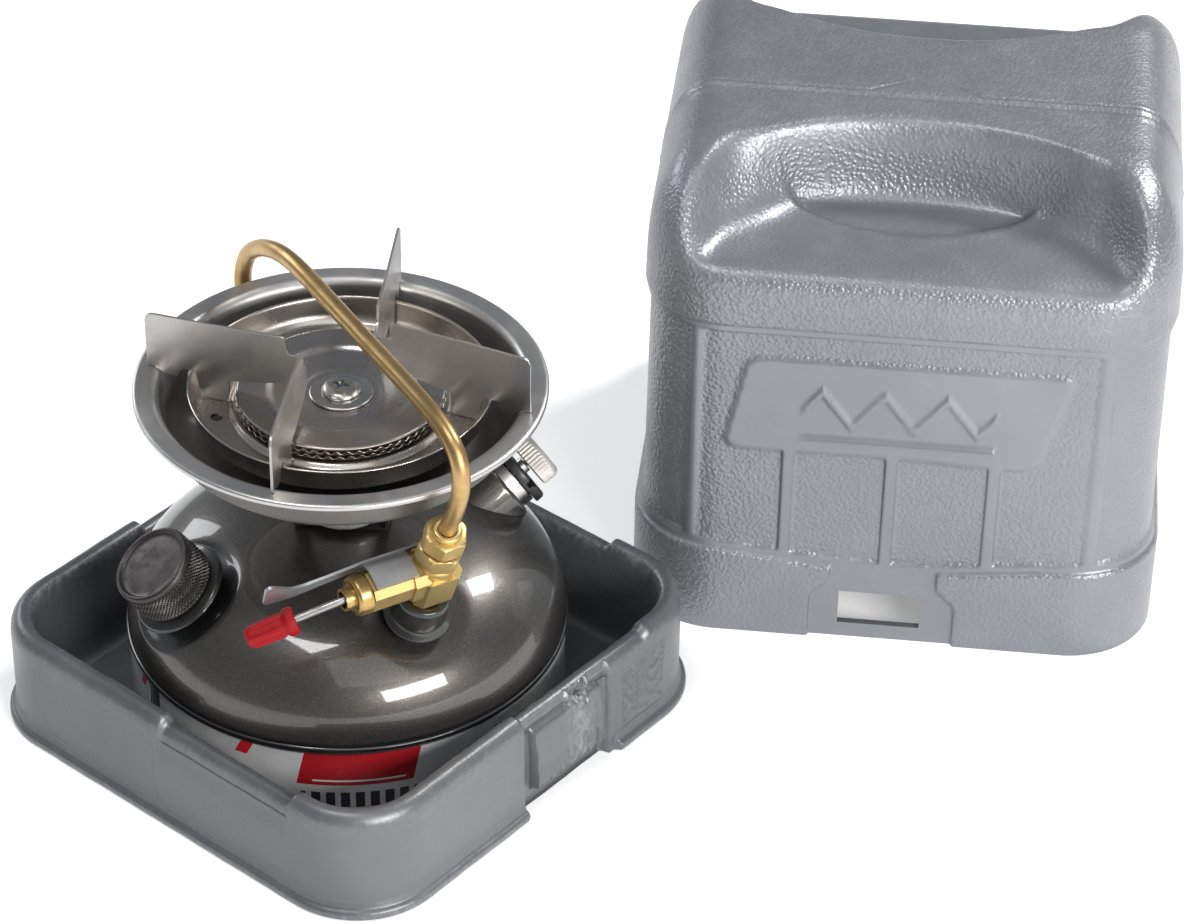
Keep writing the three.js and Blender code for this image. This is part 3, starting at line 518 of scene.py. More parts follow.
def metal(name, colour, tint, rough, brush, depth, stain, scale, spots=None, metallic=1.0):
    """Bare metal. brush is None, 'ring' (turned about z) or the direction that the strokes run in. stain says
    how strong the patches of tint are, and scale how fine; spots gives (scale, strength, colour) of marks."""
    s = Shader(name)
    if brush == "ring":
        x, y, z = s.xyz()
        r = s.radius(x, y)
        a = s.math("ARCTAN2", y, x)
        where = s.vec(s.mul(r, 2200), s.mul(a, 2.2), s.mul(z, 2200))
        lines = s.noise(1.0, where, 3, 0.7)
    elif brush is not None:
        d = Vector(brush).normalized()
        e = d.orthogonal().normalized()
        g = d.cross(e)
        parts = []
        for axis, f in ((d, 22), (e, 2200), (g, 2200)):
            n = s.t.nodes.new("ShaderNodeVectorMath")
            n.operation = "DOT_PRODUCT"
            s.put(n.inputs[0], s.co)
            n.inputs[1].default_value = tuple(axis * f)
            parts.append(n.outputs["Value"])
        lines = s.noise(1.0, s.vec(*parts), 3, 0.7)
    else:
        lines = s.noise(1400, detail=4, rough=0.7)
    m = s.remap(s.noise(scale, detail=5, rough=0.65), 0.38, 0.72)
    col = s.mix(s.mul(m, stain), colour, tint)
    col = s.mix(s.mul(s.remap(lines, 0.3, 0.75), 0.22), col, tuple(c * 0.62 for c in colour))
    if spots:
        dots = s.remap(s.noise(spots[0], detail=6, rough=0.75), 0.56, 0.70)
        col = s.mix(s.mul(dots, spots[1]), col, spots[2])
    rg = s.mad(m, 0.16, rough)
    rg = s.mad(lines, 0.10, rg)
    s.set(Base_Color=col, Metallic=metallic, Roughness=rg, Normal=s.bump(lines, depth, 0.7))
    return s


tank_paint()
enamel("cup_enamel", (0.02, 0.02, 0.021), 0.25, coat=1.0)
enamel("black_steel", (0.016, 0.0155, 0.015), 0.32, 0.2, 0.7, (0.05, 0.045, 0.04))
enamel("black_bracket", (0.02, 0.02, 0.02), 0.45, 0.3, 0.2, (0.09, 0.07, 0.06))
enamel("black_moulding", (0.015, 0.015, 0.016), 0.35, 0.0, 0.1, (0.05, 0.05, 0.05))
enamel("red_moulding", (0.28, 0.003, 0.007), 0.42, 0.0, 0.0, (0.20, 0.002, 0.005), 0.22)
enamel("seal_rubber", (0.012, 0.012, 0.012), 0.7, 0.0, 0.0)
enamel("oiled_leather", (0.16, 0.08, 0.04), 0.6, 0.0, 0.1, (0.06, 0.03, 0.015))
metal("gunmetal", (0.085, 0.078, 0.076), (0.06, 0.055, 0.053), 0.32, None, 0.02, 0.6, 240,
      (900, 0.3, (0.14, 0.13, 0.125)))
metal("bright_brass", (0.62, 0.46, 0.19), (0.46, 0.32, 0.12), 0.32, None, 0.01, 0.5, 130,
      (300, 0.3, (0.42, 0.28, 0.11)))
metal("aged_brass", (0.52, 0.36, 0.14), (0.30, 0.18, 0.07), 0.26, None, 0.02, 0.8, 150,
      (420, 0.6, (0.20, 0.11, 0.05)))
metal("tube_brass", (0.56, 0.385, 0.17), (0.36, 0.22, 0.09), 0.27, None, 0.015, 0.75, 75,
      (260, 0.5, (0.20, 0.11, 0.045)))
metal("nickel", (0.60, 0.59, 0.57), (0.42, 0.40, 0.37), 0.2, None, 0.015, 0.5, 120)
metal("rod_steel", (0.42, 0.41, 0.40), (0.25, 0.24, 0.23), 0.25, None, 0.015, 0.6, 120)
metal("grey_strip", (0.50, 0.51, 0.53), (0.36, 0.37, 0.38), 0.40, None, 0.02, 0.6, 90)
# the drum's light, part-diffuse colour is painted reflection: it stands in for the bright reflections the
# chrome drum shows in the shade under the bowl
metal("drum_painted_reflection", (0.80, 0.79, 0.77), (0.50, 0.47, 0.44), 0.22, "ring", 0.02, 0.4, 90, None, 0.6)
metal("knob_grey", (0.62, 0.60, 0.56), (0.48, 0.46, 0.42), 0.36, None, 0.02, 0.5, 160, None, 0.55)
metal("screw_steel", (0.52, 0.51, 0.50), (0.36, 0.34, 0.31), 0.18, None, 0.01, 0.4, 200)
metal("ring_steel", (0.10, 0.085, 0.075), (0.20, 0.17, 0.15), 0.40, None, 0.02, 0.6, 260,
      (500, 0.6, (0.05, 0.04, 0.035)))
metal("crimp_steel", (0.50, 0.46, 0.42), (0.34, 0.29, 0.25), 0.26, None, 0.02, 0.6, 260)
metal("pan_steel", (0.54, 0.515, 0.48), (0.38, 0.325, 0.275), 0.19, "ring", 0.018, 0.75, 34,
      (120, 0.35, (0.25, 0.20, 0.155)))
metal("cap_steel", (0.46, 0.44, 0.42), (0.32, 0.28, 0.25), 0.20, "ring", 0.018, 0.7, 45,
      (150, 0.4, (0.22, 0.18, 0.15)))
metal("grate_a", (0.47, 0.455, 0.435), (0.36, 0.33, 0.30), 0.30, (0.45, 0.89, 0.0), 0.02, 0.6, 60)
metal("grate_b", (0.52, 0.505, 0.49), (0.40, 0.37, 0.34), 0.30, (0.9, -0.43, 0.0), 0.02, 0.6, 60)


def bowl_steel():
    """Pressed stainless: bright brushed flange, darker down in the trough."""
    s = metal("bowl_steel", (0.55, 0.54, 0.53), (0.41, 0.395, 0.38), 0.31, "ring", 0.018, 0.55, 40)
    x, y, z = s.xyz()
    r = s.radius(x, y)
    deep = s.mul(s.remap(z, 0.1192, 0.1218, 1.0, 0.0), s.remap(r, 0.0575, 0.0568, 0.0, 1.0))
    deep = s.mul(deep, s.remap(z, 0.1040, 0.1044, 0.0, 1.0))
    old = s.b.inputs["Base Color"].links[0].from_socket
    s.put(s.b.inputs["Base Color"], s.mix(s.mul(deep, 0.66), old, (0.09, 0.085, 0.08)))
    old = s.b.inputs["Roughness"].links[0].from_socket
    s.put(s.b.inputs["Roughness"], s.mad(deep, 0.18, old))


bowl_steel()


def label_print(radius):
    """Silver band with plain blocks: a red lozenge, a row of black bars, two red marks and broken lines."""
    s = Shader("label_print")
    x, y, z = s.xyz()
    u = s.mul(s.math("ARCTAN2", y, x), radius)
    v = s.mul(z, 1000)

    def lozenge(u0, v0, w, h, slant=0.0):
        """1 inside a block w wide and h high whose sides lean by slant."""
        du = s.math("ABSOLUTE", s.math("SUBTRACT", u, s.mad(s.math("SUBTRACT", v, v0), slant, u0)))
        dv = s.math("ABSOLUTE", s.math("SUBTRACT", v, v0))
        return s.mul(s.math("LESS_THAN", du, w / 2), s.math("LESS_THAN", dv, h / 2))

    k = radius * math.pi / 180
    foil = s.mix(s.remap(s.noise(90, detail=4), 0.3, 0.7), (0.46, 0.463, 0.465), (0.56, 0.56, 0.56))
    colour = s.mix(lozenge(-44.4 * k, 26.4, 36.5, 12.4, 0.22), foil, (0.36, 0.010, 0.016))
    colour = s.mix(lozenge(-44.4 * k, 22.0, 29.0, 0.7, 0.22), colour, (0.72, 0.70, 0.69))
    colour = s.mix(lozenge(-74.4 * k, 30.4, 4.2, 5.4, 0.5), colour, (0.50, 0.012, 0.02))
    colour = s.mix(lozenge(-113.5 * k, 30.0, 3.2, 4.6, 0.5), colour, (0.42, 0.02, 0.03))
    wave = s.math("FRACT", s.mul(u, 1 / 4.6))
    bars = s.mul(s.math("LESS_THAN", wave, 0.62), lozenge(-41 * k, 14.4, 46, 6.0, 0.2))
    colour = s.mix(bars, colour, (0.02, 0.02, 0.022))
    lines = s.math("LESS_THAN", s.math("FRACT", s.mul(v, 1 / 1.5)), 0.45)
    dashes = s.vec(s.mul(u, 1.6), s.math("FLOOR", s.mul(v, 1 / 1.5)), 0.0)
    crumbs = s.math("GREATER_THAN", s.noise(1.0, dashes, 1), 0.47)
    small = s.mul(s.mul(lines, crumbs), lozenge(9 * k, 22, 38, 17))
    colour = s.mix(s.mul(small, 0.75), colour, (0.08, 0.08, 0.085))
    s.set(Base_Color=colour, Roughness=0.34, Metallic=0.15, Coat_Weight=0.4, Coat_Roughness=0.1,
          Normal=s.bump(s.noise(240, detail=2), 0.08, 0.3))


label_print(69.6)

# ------------------------------------------------------------------ case: shared plan outline
STRAIGHT = 57.0          # half length of the straight run of each side, tray and cover alike


def columns(fine_at, pitch=1.2, fine=0.5, corner=22):
    """(side, along, angle) of each column round a rounded square. fine_at gives, for a side, the places
    along it that need close columns."""
    out = []
    for side in range(4):
        s = list(np.linspace(-STRAIGHT, STRAIGHT, int(2 * STRAIGHT / pitch) + 1))
        for c, w in fine_at(side):
            s += list(np.arange(c - w, c + w + 1e-6, fine))
        s = np.unique(np.round(np.clip(s, -STRAIGHT, STRAIGHT), 3))
        keep = [s[0]]
        for q in s[1:]:
            if q - keep[-1] > 0.28:
                keep.append(q)
        out += [(side, q, 0.0) for q in keep]
        out += [(side, STRAIGHT, 90.0 * i / corner) for i in range(1, corner)]
    return np.array(out)


def plan(cols, h, grow=0.0):
    """Points of the outline of half width h, moved out by `grow` (a number or one per column)."""
    side, s, a = cols[:, 0], cols[:, 1], np.radians(cols[:, 2])
    rc = h - STRAIGHT
    on = cols[:, 2] == 0
    g = np.broadcast_to(np.asarray(grow, float), s.shape)
    x = np.where(on, h + g, STRAIGHT + (rc + g) * np.cos(a))
    y = np.where(on, s, STRAIGHT + (rc + g) * np.sin(a))
    t = side * math.pi / 2
    c, d = np.round(np.cos(t)), np.round(np.sin(t))
    return np.stack([x * c - y * d, x * d + y * c], 1)


def shell(rows, attributes):
    """Verts and faces of stacked closed rows of points, with a fan at each end."""
    n = len(rows[0])
    v = np.concatenate(rows)
    f = grid_faces(len(rows), n)
    extra = []
    for k, flip in ((0, True), (len(rows) - 1, False)):
        extra.append(rows[k].mean(0))
        c = len(v) + len(extra) - 1
        for i in range(n):
            j = (i + 1) % n
            f.append((c, k * n + j, k * n + i) if flip else (c, k * n + i, k * n + j))
    v = np.vstack([v, extra])
    at = {k: np.r_[np.concatenate(a), [0.0, 0.0]] for k, a in attributes.items()}
    return v, f, at


def ribbed(name, place, angles, foot, ribs, crown, smooth):
    """A closed knob about local z. foot and crown are turned rows (radius, z); a row of ribs has a radius
    for every angle."""
    v, f, _ = shell([ring(r, angles, z) for r, z in [*foot, *ribs, *crown]], {})
    return outward(make(name, place(v), f, smooth))


# ------------------------------------------------------------------ case tray
RIM_Z, RIM_DIP = 39.0, 3.0
TRAY_HALF, RIM_OUT, RIM_IN, TRAY_WALL = 86.0, 83.5, 76.0, 2.4
LATCH_FROM, LATCH_TO = -9.0, 31.0        # stretch of the latch side that is set back
TAB = (-5.0, 27.0)                       # the hanging latch tab
LOOP_Y, LOOP_Z0 = 17.0, 35.5             # lozenge loop on it
PAD = (36.5, 66.0)                       # roughened grip pad beside it


def tray():
    def fine_at(side):
        if side == 0:
            return [(LATCH_FROM, 3), (TAB[0], 2.5), (TAB[1], 2.5), (LATCH_TO, 3), (LOOP_Y, 8.5), (PAD[0], 2),
                    (11, 17)]
        return [(15, 4)] if side == 2 else [(-2, 4)]
    cols = columns(fine_at)
    side, s, ang = cols[:, 0], cols[:, 1], cols[:, 2]
    on = ang == 0

    def window(k, lo, hi, w):
        """1 along part of side k, with ramps w wide."""
        return np.where((side == k) & on, step(s - lo, w) * step(hi - s, w), 0.0)
    # the lip drops along part of each side; on the latch side it also stands back
    low = window(3, -2.0, 52, 2.2) + window(2, -49, 15, 2.2) + window(1, -44, 40, 2.2)
    low = low + window(0, -9.5, 50, 2.2) * 0.55
    back = window(0, LATCH_FROM, LATCH_TO, 1.6)
    seam = np.where((side == 3) & on, np.exp(-((s + 4.5) / 0.45) ** 2), 0.0)
    wave = 0.18 * np.sin(s * 0.21 + side) + 0.12 * np.sin(s * 0.53 + 2 * side)
    rows, wear, grain = [], [], []

    def relief(z):
        """How far the outer face stands out at height z, beyond its plain shape."""
        tongue = window(0, TAB[0], TAB[1], 1.0)
        scallop = 0.8 * np.sin(s * 2 * math.pi / 4.6)
        foot = 8.4 + scallop
        hang = tongue * step(z - foot, 1.0) * step(31.5 - z, 2.5)
        g = 2.4 * hang - 2.0 * back * step(33 - z, 3) - 0.7 * back * step(z - 33, 3)
        teeth = tongue * step(z - 8.5, 1) * step(15.5 - z, 1) * step(np.sin(s * 2 * math.pi / 2.3), 1.4)
        g = g + 0.45 * teeth
        edge = window(0, TAB[0] - 0.2, TAB[0] + 1.6, 0.8) + window(0, TAB[1] - 1.6, TAB[1] + 0.2, 0.8)
        g = g + 0.7 * edge * step(z - 9, 1) * step(24.5 - z, 2)
        dy, dz = (s - LOOP_Y) / 5.4, (z - LOOP_Z0) / 6.0
        q = np.abs(dy * 0.86 + dz * 0.35) + np.abs(dz * 0.8 - dy * 0.3)
        loop = np.where((side == 0) & on, 1.0, 0.0)
        g = g + loop * (1.1 * np.exp(-((q - 1.0) / 0.16) ** 2) - 1.3 * step(0.78 - q, 0.2))
        pad = window(0, PAD[0], 57.5, 1.2) * step(z - 9, 1.2) * step(29.5 - z, 1.2)
        crumbs = np.sin(s * 2.9 + 1.3 * np.sin(z * 1.1)) * np.sin(z * 2.3 + 1.7 * np.sin(s * 1.3))
        frame_ = window(0, PAD[0] - 1.4, 58, 0.8) * step(z - 7.4, 0.8) * step(31 - z, 0.8) - pad
        g = g + pad * (0.25 + 0.5 * step(crumbs - 0.35, 0.5)) + 0.45 * np.clip(frame_, 0, 1)
        return g - 0.22 * seam * step(30 - z, 2)

    def row(h, z, dip=0.0, grow=0.0, worn=0.0, rough=0.15, detail=False):
        """Adds one level row at half width h and height z."""
        g = np.broadcast_to(np.asarray(grow, float), s.shape) + wave * 0.35
        zz = np.full(len(s), float(z)) - dip * low
        if detail:
            g = g + relief(zz)
        p = plan(cols, h, np.clip(g, None, TRAY_HALF - h))
        rows.append(np.c_[p, zz])
        rubbed = 0.5 * np.exp(-((s - LOOP_Y) / 6) ** 2) * (side == 0) * on if detail else 0
        wear.append(np.full(len(s), worn) + rubbed)
        grain.append(np.full(len(s), rough))

    floor_in, inner, outer = RIM_IN - 2, RIM_IN + TRAY_WALL, RIM_OUT - TRAY_WALL
    flange = 1 - 0.98 * window(0, -7.5, 34.5, 1.4)
    row(floor_in + 0.6, 0)
    row(floor_in + 1.2, 0.3)
    row(floor_in + TRAY_WALL, 3.4)
    row(inner, RIM_Z - 6.5, RIM_DIP)
    row(inner + 0.5, RIM_Z - 5.2, RIM_DIP)
    row(outer - 0.5, RIM_Z - 5.2, RIM_DIP)
    row(outer, RIM_Z - 6.5, RIM_DIP, -0.6 * low)
    row(outer + 0.4, 0.4, 0, -2.2 * back)
    row(outer + 1.2, 0, 0, -2.2 * back)
    # bottom flange with its bead
    for h, z in ((84.9, 0.0), (85.6, 0.35), (85.95, 1.0), (86.0, 1.9), (85.8, 2.7), (85.2, 3.3), (84.6, 3.5),
                 (84.3, 3.9), (84.1, 4.6), (83.8, 5.2)):
        cut = -(h - 83.3) * (1 - flange) - 2.2 * back * step(5.5 - z, 1)
        row(h, z, 0, cut, 0.25 if z < 2 else 0.05, 0.2, True)
    for z in np.arange(6.0, RIM_Z - 7.6, 0.9):
        row(RIM_OUT, z, 0, -0.9 * low * step(z - 26, 8), 0.0, 0.3, True)
    # rolled lip
    lip = [(83.5, 31.8), (83.5, 33.0), (83.45, 34.1), (83.3, 35.1), (82.95, 36.1), (82.45, 37.0),
           (81.8, 37.8),
           (81.1, 38.4), (80.3, 38.85), (79.4, 39.0), (78.6, 38.95), (77.9, 38.75), (77.3, 38.4),
           (76.8, 37.8),
           (76.45, 37.0), (76.2, 36.0), (76.05, 35.0), (76.0, 34.0)]
    for h, z in lip:
        out = max(0.0, (h - 79.0) / 4.5)
        scuffed = 0.04 + 0.5 * math.exp(-((h - 77.0) / 0.9) ** 2) + 0.08 * math.exp(-((h - 82.6) / 0.8) ** 2)
        row(h, z, RIM_DIP * float(np.clip((z - 30) / 4, 0.2, 1)), -0.9 * low * out - 0.5 * back * out,
            scuffed, 0.2,
            h > 81.5)
    for z in np.arange(31, 5, -2.0):
        row(RIM_IN - 1.6 * (34 - z) / 29, z, RIM_DIP * max(0.0, (z - 24) / 12), 0, 0.0, 0.4)
    for h, z in ((73.9, 4.6), (73.1, 3.5), (72.0, 2.9), (70.6, 2.6)):
        row(h, z)
    for shrink in (0.8, 0.6, 0.6):
        rows.append(np.c_[rows[-1][:, :2] * shrink, np.full(len(s), 2.6)])
        wear.append(np.zeros(len(s)))
        grain.append(np.full(len(s), 0.3))
    v, f, at = shell(rows, {"wear": wear, "grain": grain})
    ob = outward(make("tray_moulding", v, f, 50, at))
    show(ob, "case_tray_plastic", "tray", "case_plastic", "case_tray")


# ------------------------------------------------------------------ case cover
COVER_H, COVER_WALL = 166.0, 2.4
NECK, NECK_TOP = 85.4, 84.2
ROLL_ENDS, ROLL_FACES, ROLL_FALL = 17.0, 42.0, 30.0
SCOOP_Z, SCOOP_A, SCOOP_B, SCOOP_Y = 141.0, 76.5, 63.8, 91.0
PARTING = 12.0                                       # the mould's parting line, off the middle
COVER_FACE = -2.5                                    # the moulded pattern sits this far off the face's middle
LONG_RIBS, SHORT_RIBS = (-64.3, 66.4), (-33.0, 0.3, 33.3)
PLATE = ((-54.3, 73.5), (46.1, 72.0), (56.7, 109.0), (-47.2, 108.2))
WINDOW_BOX = (-14.0, 13.0, 5.6, 18.6)                # from, to along the face, bottom, top
COVER_AT, COVER_TURN = (67.9, 207.3, 0), 33.7


def polygon_inside(x, z, corners, width, radius=3.0):
    """Soft mask of a convex outline with rounded corners (counter-clockwise corners)."""
    c = np.array(corners, float)
    d = np.full(np.shape(x), 1e9)
    soft = np.zeros(np.shape(x))
    for i in range(len(c)):
        a, b = c[i], c[(i + 1) % len(c)]
        e = unit(b - a)
        side = (x - a[0]) * -e[1] + (z - a[1]) * e[0]
        d = np.minimum(d, side)
        soft = soft + np.clip(radius - side, 0, None) ** 2
    inside = np.where(soft > 0, radius - np.sqrt(soft), np.minimum(d, radius))
    return step(np.where(d < -radius, d, inside), width), inside


def cover_relief(u, z):
    """(how far the face stands out, pebble grain) at place u across a face and height z."""
    u = u - COVER_FACE
    band_top = 28.0 + 5.0 * step(np.abs(u) - 36, 66)
    centre = step(u + 17.2 + 6.4 * step(20.5 - z, 9), 0.9) * step(17.6 + 6.4 * step(19.0 - z, 9) - u, 0.9)
    band = step(band_top - z, 1.3) * (1 - centre)
    low = step(z - band_top - 3.0, 0.9) * step(117.6 - z, 0.9)
    rib = np.zeros(np.shape(u + z))
    for r in LONG_RIBS:
        rib = np.maximum(rib, step(2.0 - np.abs(u - r), 0.8))
    for r in SHORT_RIBS:
        rib = np.maximum(rib, step(2.0 - np.abs(u - r), 0.8) * step(74 - z, 0.8))
    plate, deep = polygon_inside(u, z, PLATE, 0.8, 4.0)
    island = low * (1 - rib) * (1 - plate)
    shoulder = step(z - 120.4, 0.9)
    # generic mark on the plate: a plain line of peaks over a bar
    w = (u - 2.0) / 30.0
    peaks = 97.5 - 13.0 * np.abs(((w * 1.5 + 40.75) % 1.0) * 2 - 1)
    mark = step(1.25 - np.abs(z - peaks) * 0.72, 0.9) * step(31 - np.abs(u - 2.0), 1.0)
    bar = step(0.9 - np.abs(z - 79.5), 0.8) * step(31 - np.abs(u - 2.0), 1.0)
    mark = np.maximum(mark, bar) * step(deep - 2.0, 1.0)
    out = -1.15 * island + 0.8 * shoulder + 1.5 * band + 1.0 * mark
    grain = np.clip(island + shoulder + band, 0, 1)
    return out, grain


def cover():
    place = Frame(COVER_AT, side=heading(COVER_TURN))
    window_from, window_to = WINDOW_BOX[0] + COVER_FACE, WINDOW_BOX[1] + COVER_FACE

    def fine_at(side):
        if side in (1, 3):
            mid = [COVER_FACE + r for r in (*SHORT_RIBS, -17.2, 17.6, -23.6, 24)]
            return [(c, 2.8) for c in mid] + [(window_from, 0.0), (window_to, 0.0)]
        return [(-PARTING, 3.5), (PARTING, 3.5)]
    cols = columns(fine_at, 1.15, 0.5, 40)
    # the window's edges must be columns of their own
    for side in (1, 3):
        for c in (window_from, window_to):
            k = np.where((cols[:, 0] == side) & (cols[:, 2] == 0))[0]
            near = k[np.argmin(np.abs(cols[k, 1] - c))]
            cols[near, 1] = c
    side, s, ang = cols[:, 0], cols[:, 1], cols[:, 2]
    base = plan(cols, NECK)
    face = np.where(base[:, 1] < 0, base[:, 0], -base[:, 0])
    front = np.abs(base[:, 1]) > 56.5
    u = np.where(front, face, 84.0 * np.sign(face))
    u = np.where(~front, COVER_FACE + 84.0, u)
    z_wall = np.unique(np.round(np.r_[np.arange(0, 136.01, 1.15), WINDOW_BOX[2], WINDOW_BOX[3],
                                      np.arange(26, 34, 0.5), np.arange(116, 122, 0.5)], 3))
    z_wall = z_wall[np.r_[True, np.diff(z_wall) > 0.3]]
    for target in WINDOW_BOX[2:]:
        z_wall[np.argmin(np.abs(z_wall - target))] = target

    def body(z, grow, drop, detail):
        """Outline at wall height z, or at an angle up the roll of the roof when z is (angle,)."""
        if isinstance(z, tuple):
            a = z[0]
            inset, zz = 1 - math.cos(a), COVER_H - ROLL_FALL + (ROLL_FALL - 0.55) * math.sin(a)
            h = NECK_TOP - ROLL_ENDS * inset
            depth = NECK_TOP - ROLL_FACES * inset
            out = np.full(len(s), 0.8 * (1 - inset))
            grain = np.ones(len(s))
        else:
            h = NECK + (NECK_TOP - NECK) * max(0.0, z - 30) / 106
            depth, zz = h, z
            out, grain = cover_relief(u, np.full(len(s), float(z)))
            q = base[:, 1] + PARTING
            part = np.where((side % 2 == 0) & (ang == 0), 0.45 * np.exp(-(q / 0.5) ** 2)
                            - 0.3 * np.exp(-((np.abs(q) - 1.6) / 0.5) ** 2), 0.0)
            out = out + part
        if not detail:
            out = out * 0
        p = plan(cols, h, out - grow)
        p[:, 1] *= (depth - grow) / (h - grow)
        return p, np.full(len(s), zz - drop), grain

    def scooped(p, z, drop, grow):
        """Lowers z to the hand scoops, and gives how deep in a scoop each point is."""
        inside = np.zeros(len(z))
        for sg in (-1, 1):
            dx, dy = p[:, 0] / (SCOOP_A + grow), (p[:, 1] - sg * SCOOP_Y) / (SCOOP_B + grow)
            e = (np.abs(dx) ** 2.3 + np.abs(dy) ** 2.3) ** (1 / 2.3)
            d = (e - 1) * (0.5 * SCOOP_A + 0.5 * SCOOP_B)
            t = np.clip((d + 10.5) / 10.5, 0, 0.93)
            floor = SCOOP_Z - drop * 1.8 + 8.0 * t * t / (1 - t)
            blended = smin(z, floor, 13.0)
            inside = np.maximum(inside, step(z - blended - 4, 6) * step(-d - 7, 4))
            z = blended
        return z, inside

    rows, wear, grain = [], [], []
    n = len(s)
    # inner skin, from the roof's middle down to the mouth
    inner = [body(z, COVER_WALL, 0, False) for z in np.r_[z_wall[z_wall <= 32.0], np.arange(36, 132, 6.0)]]
    inner += [body((rad(a),), COVER_WALL, COVER_WALL, False) for a in np.linspace(0, 90, 10)]
    last = inner[-1]
    inner += [(last[0] * k, last[1], last[2]) for k in (0.86, 0.72, 0.58, 0.44, 0.3, 0.16, 0.05)]
    inner = [(p, scooped(p, z, COVER_WALL, COVER_WALL)[0], g) for p, z, g in inner]
    for p, z, _ in inner[::-1]:
        rows.append(np.c_[p, z])
        wear.append(np.zeros(n))
        grain.append(np.full(n, 0.25))
    mouth_inner = len(rows) - 1
    # outer skin, from the mouth to the roof's middle
    outer = [body(z, 0, 0, True) for z in z_wall]
    outer += [body((rad(a),), 0, 0, True) for a in np.linspace(0, 90, 26)[1:]]
    last = outer[-1]
    outer += [(last[0] * k, last[1], last[2]) for k in np.r_[np.linspace(1, 0.28, 44)[1:], 0.2, 0.12, 0.05]]
    start = len(rows)
    stack = []
    for i, (p, z, g) in enumerate(outer):
        over = i >= len(z_wall) - 8
        deep = np.zeros(n)
        if over:
            z, deep = scooped(p, z, 0, 0)
            q = p[:, 1] + PARTING
            ridge = 0.5 * np.exp(-(q / 0.6) ** 2) - 0.35 * np.exp(-((np.abs(q) - 1.9) / 0.7) ** 2)
            z = z + ridge * step(z - 150, 8)
            g = g * (1 - 0.72 * deep) * np.where(z > 158, 0.45, 1.0)
        stack.append(np.c_[p, z])
        grain.append(g)
        wear.append(0.12 * (1 - deep) if over else np.zeros(n))
    P = np.array(stack)
    # even the grid out over the scoops, where rows cross steep walls
    top = len(z_wall) - 14
    crest = np.abs(P[:, :, 1] + PARTING) < 3.4
    for _ in range(34):
        Q = P.copy()
        avg = (np.roll(P, 1, 1) + np.roll(P, -1, 1)) / 4
        avg[1:-1] += (P[2:] + P[:-2]) / 4
        w = np.zeros(P.shape[:2])
        w[top:-1] = np.clip((np.arange(top, len(P) - 1) - top) / 10, 0, 1)[:, None]
        w[crest] = 0
        Q[1:-1] = P[1:-1] + (avg[1:-1] - P[1:-1]) * 0.55 * w[1:-1, :, None]
        P = Q
    roof = P[:, :, 2] > SCOOP_Z - 6
    for sg in (-1, 1):
        x, y = P[:, :, 0] + 3.0, -sg * P[:, :, 1]
        lens = np.minimum(59.8 - np.hypot(x, y + 2.8), 82.6 - np.hypot(x, y - 111.0))
        P[:, :, 2] -= np.where(roof, 2.2 * step(lens - 1.3, 2.6) - 0.35 * np.exp(-((lens + 1.0) / 1.3) ** 2),
                               0)
    rows += list(P)
    v, f, at = shell(rows, {"wear": wear, "grain": grain})
    # latch windows through both skins
    k0, k1 = (int(np.argmin(np.abs(z_wall - t))) for t in WINDOW_BOX[2:])
    drop, extra = set(), []

    def out_id(k, c):
        return (start + k) * n + c

    def in_id(k, c):
        return (mouth_inner - k) * n + c

    for sd in (1, 3):
        idx = np.where((side == sd) & (ang == 0))[0]
        c0, c1 = (idx[np.argmin(np.abs(s[idx] - edge))] for edge in (window_from, window_to))
        for k in range(k0, k1):
            drop |= {q for c in range(c0, c1) for q in (out_id(k, c), in_id(k + 1, c))}
        for c in range(c0, c1):
            for k in (k0, k1):
                extra.append((out_id(k, c), out_id(k, c + 1), in_id(k, c + 1), in_id(k, c)))
        for k in range(k0, k1):
            for c in (c0, c1):
                extra.append((out_id(k, c), out_id(k + 1, c), in_id(k + 1, c), in_id(k, c)))
    f = [q for i, q in enumerate(f) if not (i < (len(rows) - 1) * n and i in drop)] + extra
    ob = outward(make("cover_moulding", place(v), f, 50, at))
    show(ob, "case_cover_plastic", "cover", "case_plastic", "case_cover")


tray()
cover()

# ------------------------------------------------------------------ tank
TANK_R, CUP_R, TANK_WALL, SEAM_Z = 70.0, 69.2, 1.2, 35.4
DOME_RISE, DOME_N, DOME_M = 38.0, 2.4, 2.3               # height of the dome, and the powers that shape it


def dome_z(r, off=0.0):
    """Height of the dome at radius r, for a skin that lies `off` outside it."""
    return SEAM_Z + (DOME_RISE + off) * max(0.0, 1 - (r / (TANK_R + off)) ** DOME_N) ** (1 / DOME_M)


def dome_tilt(r):
    return math.atan((dome_z(r - 0.01) - dome_z(r + 0.01)) / 0.02)


def on_dome(r0, phi, tilt):
    """Frame on the dome at radius r0 and angle phi, leaning outward by tilt."""
    c, s = math.cos(rad(phi)), math.sin(rad(phi))
    lean = (c * math.sin(tilt), s * math.sin(tilt), math.cos(tilt))
    return Frame((r0 * c, r0 * s, dome_z(r0)), lean, (-s, c, 0))


VALVE_TURN = -20.0                       # valve, generator and jet all lie across the stove this way
FILLER = on_dome(56, -113, dome_tilt(56))
VALVE = on_dome(48, VALVE_TURN, dome_tilt(48))
PUMP = on_dome(51, 67, rad(58))


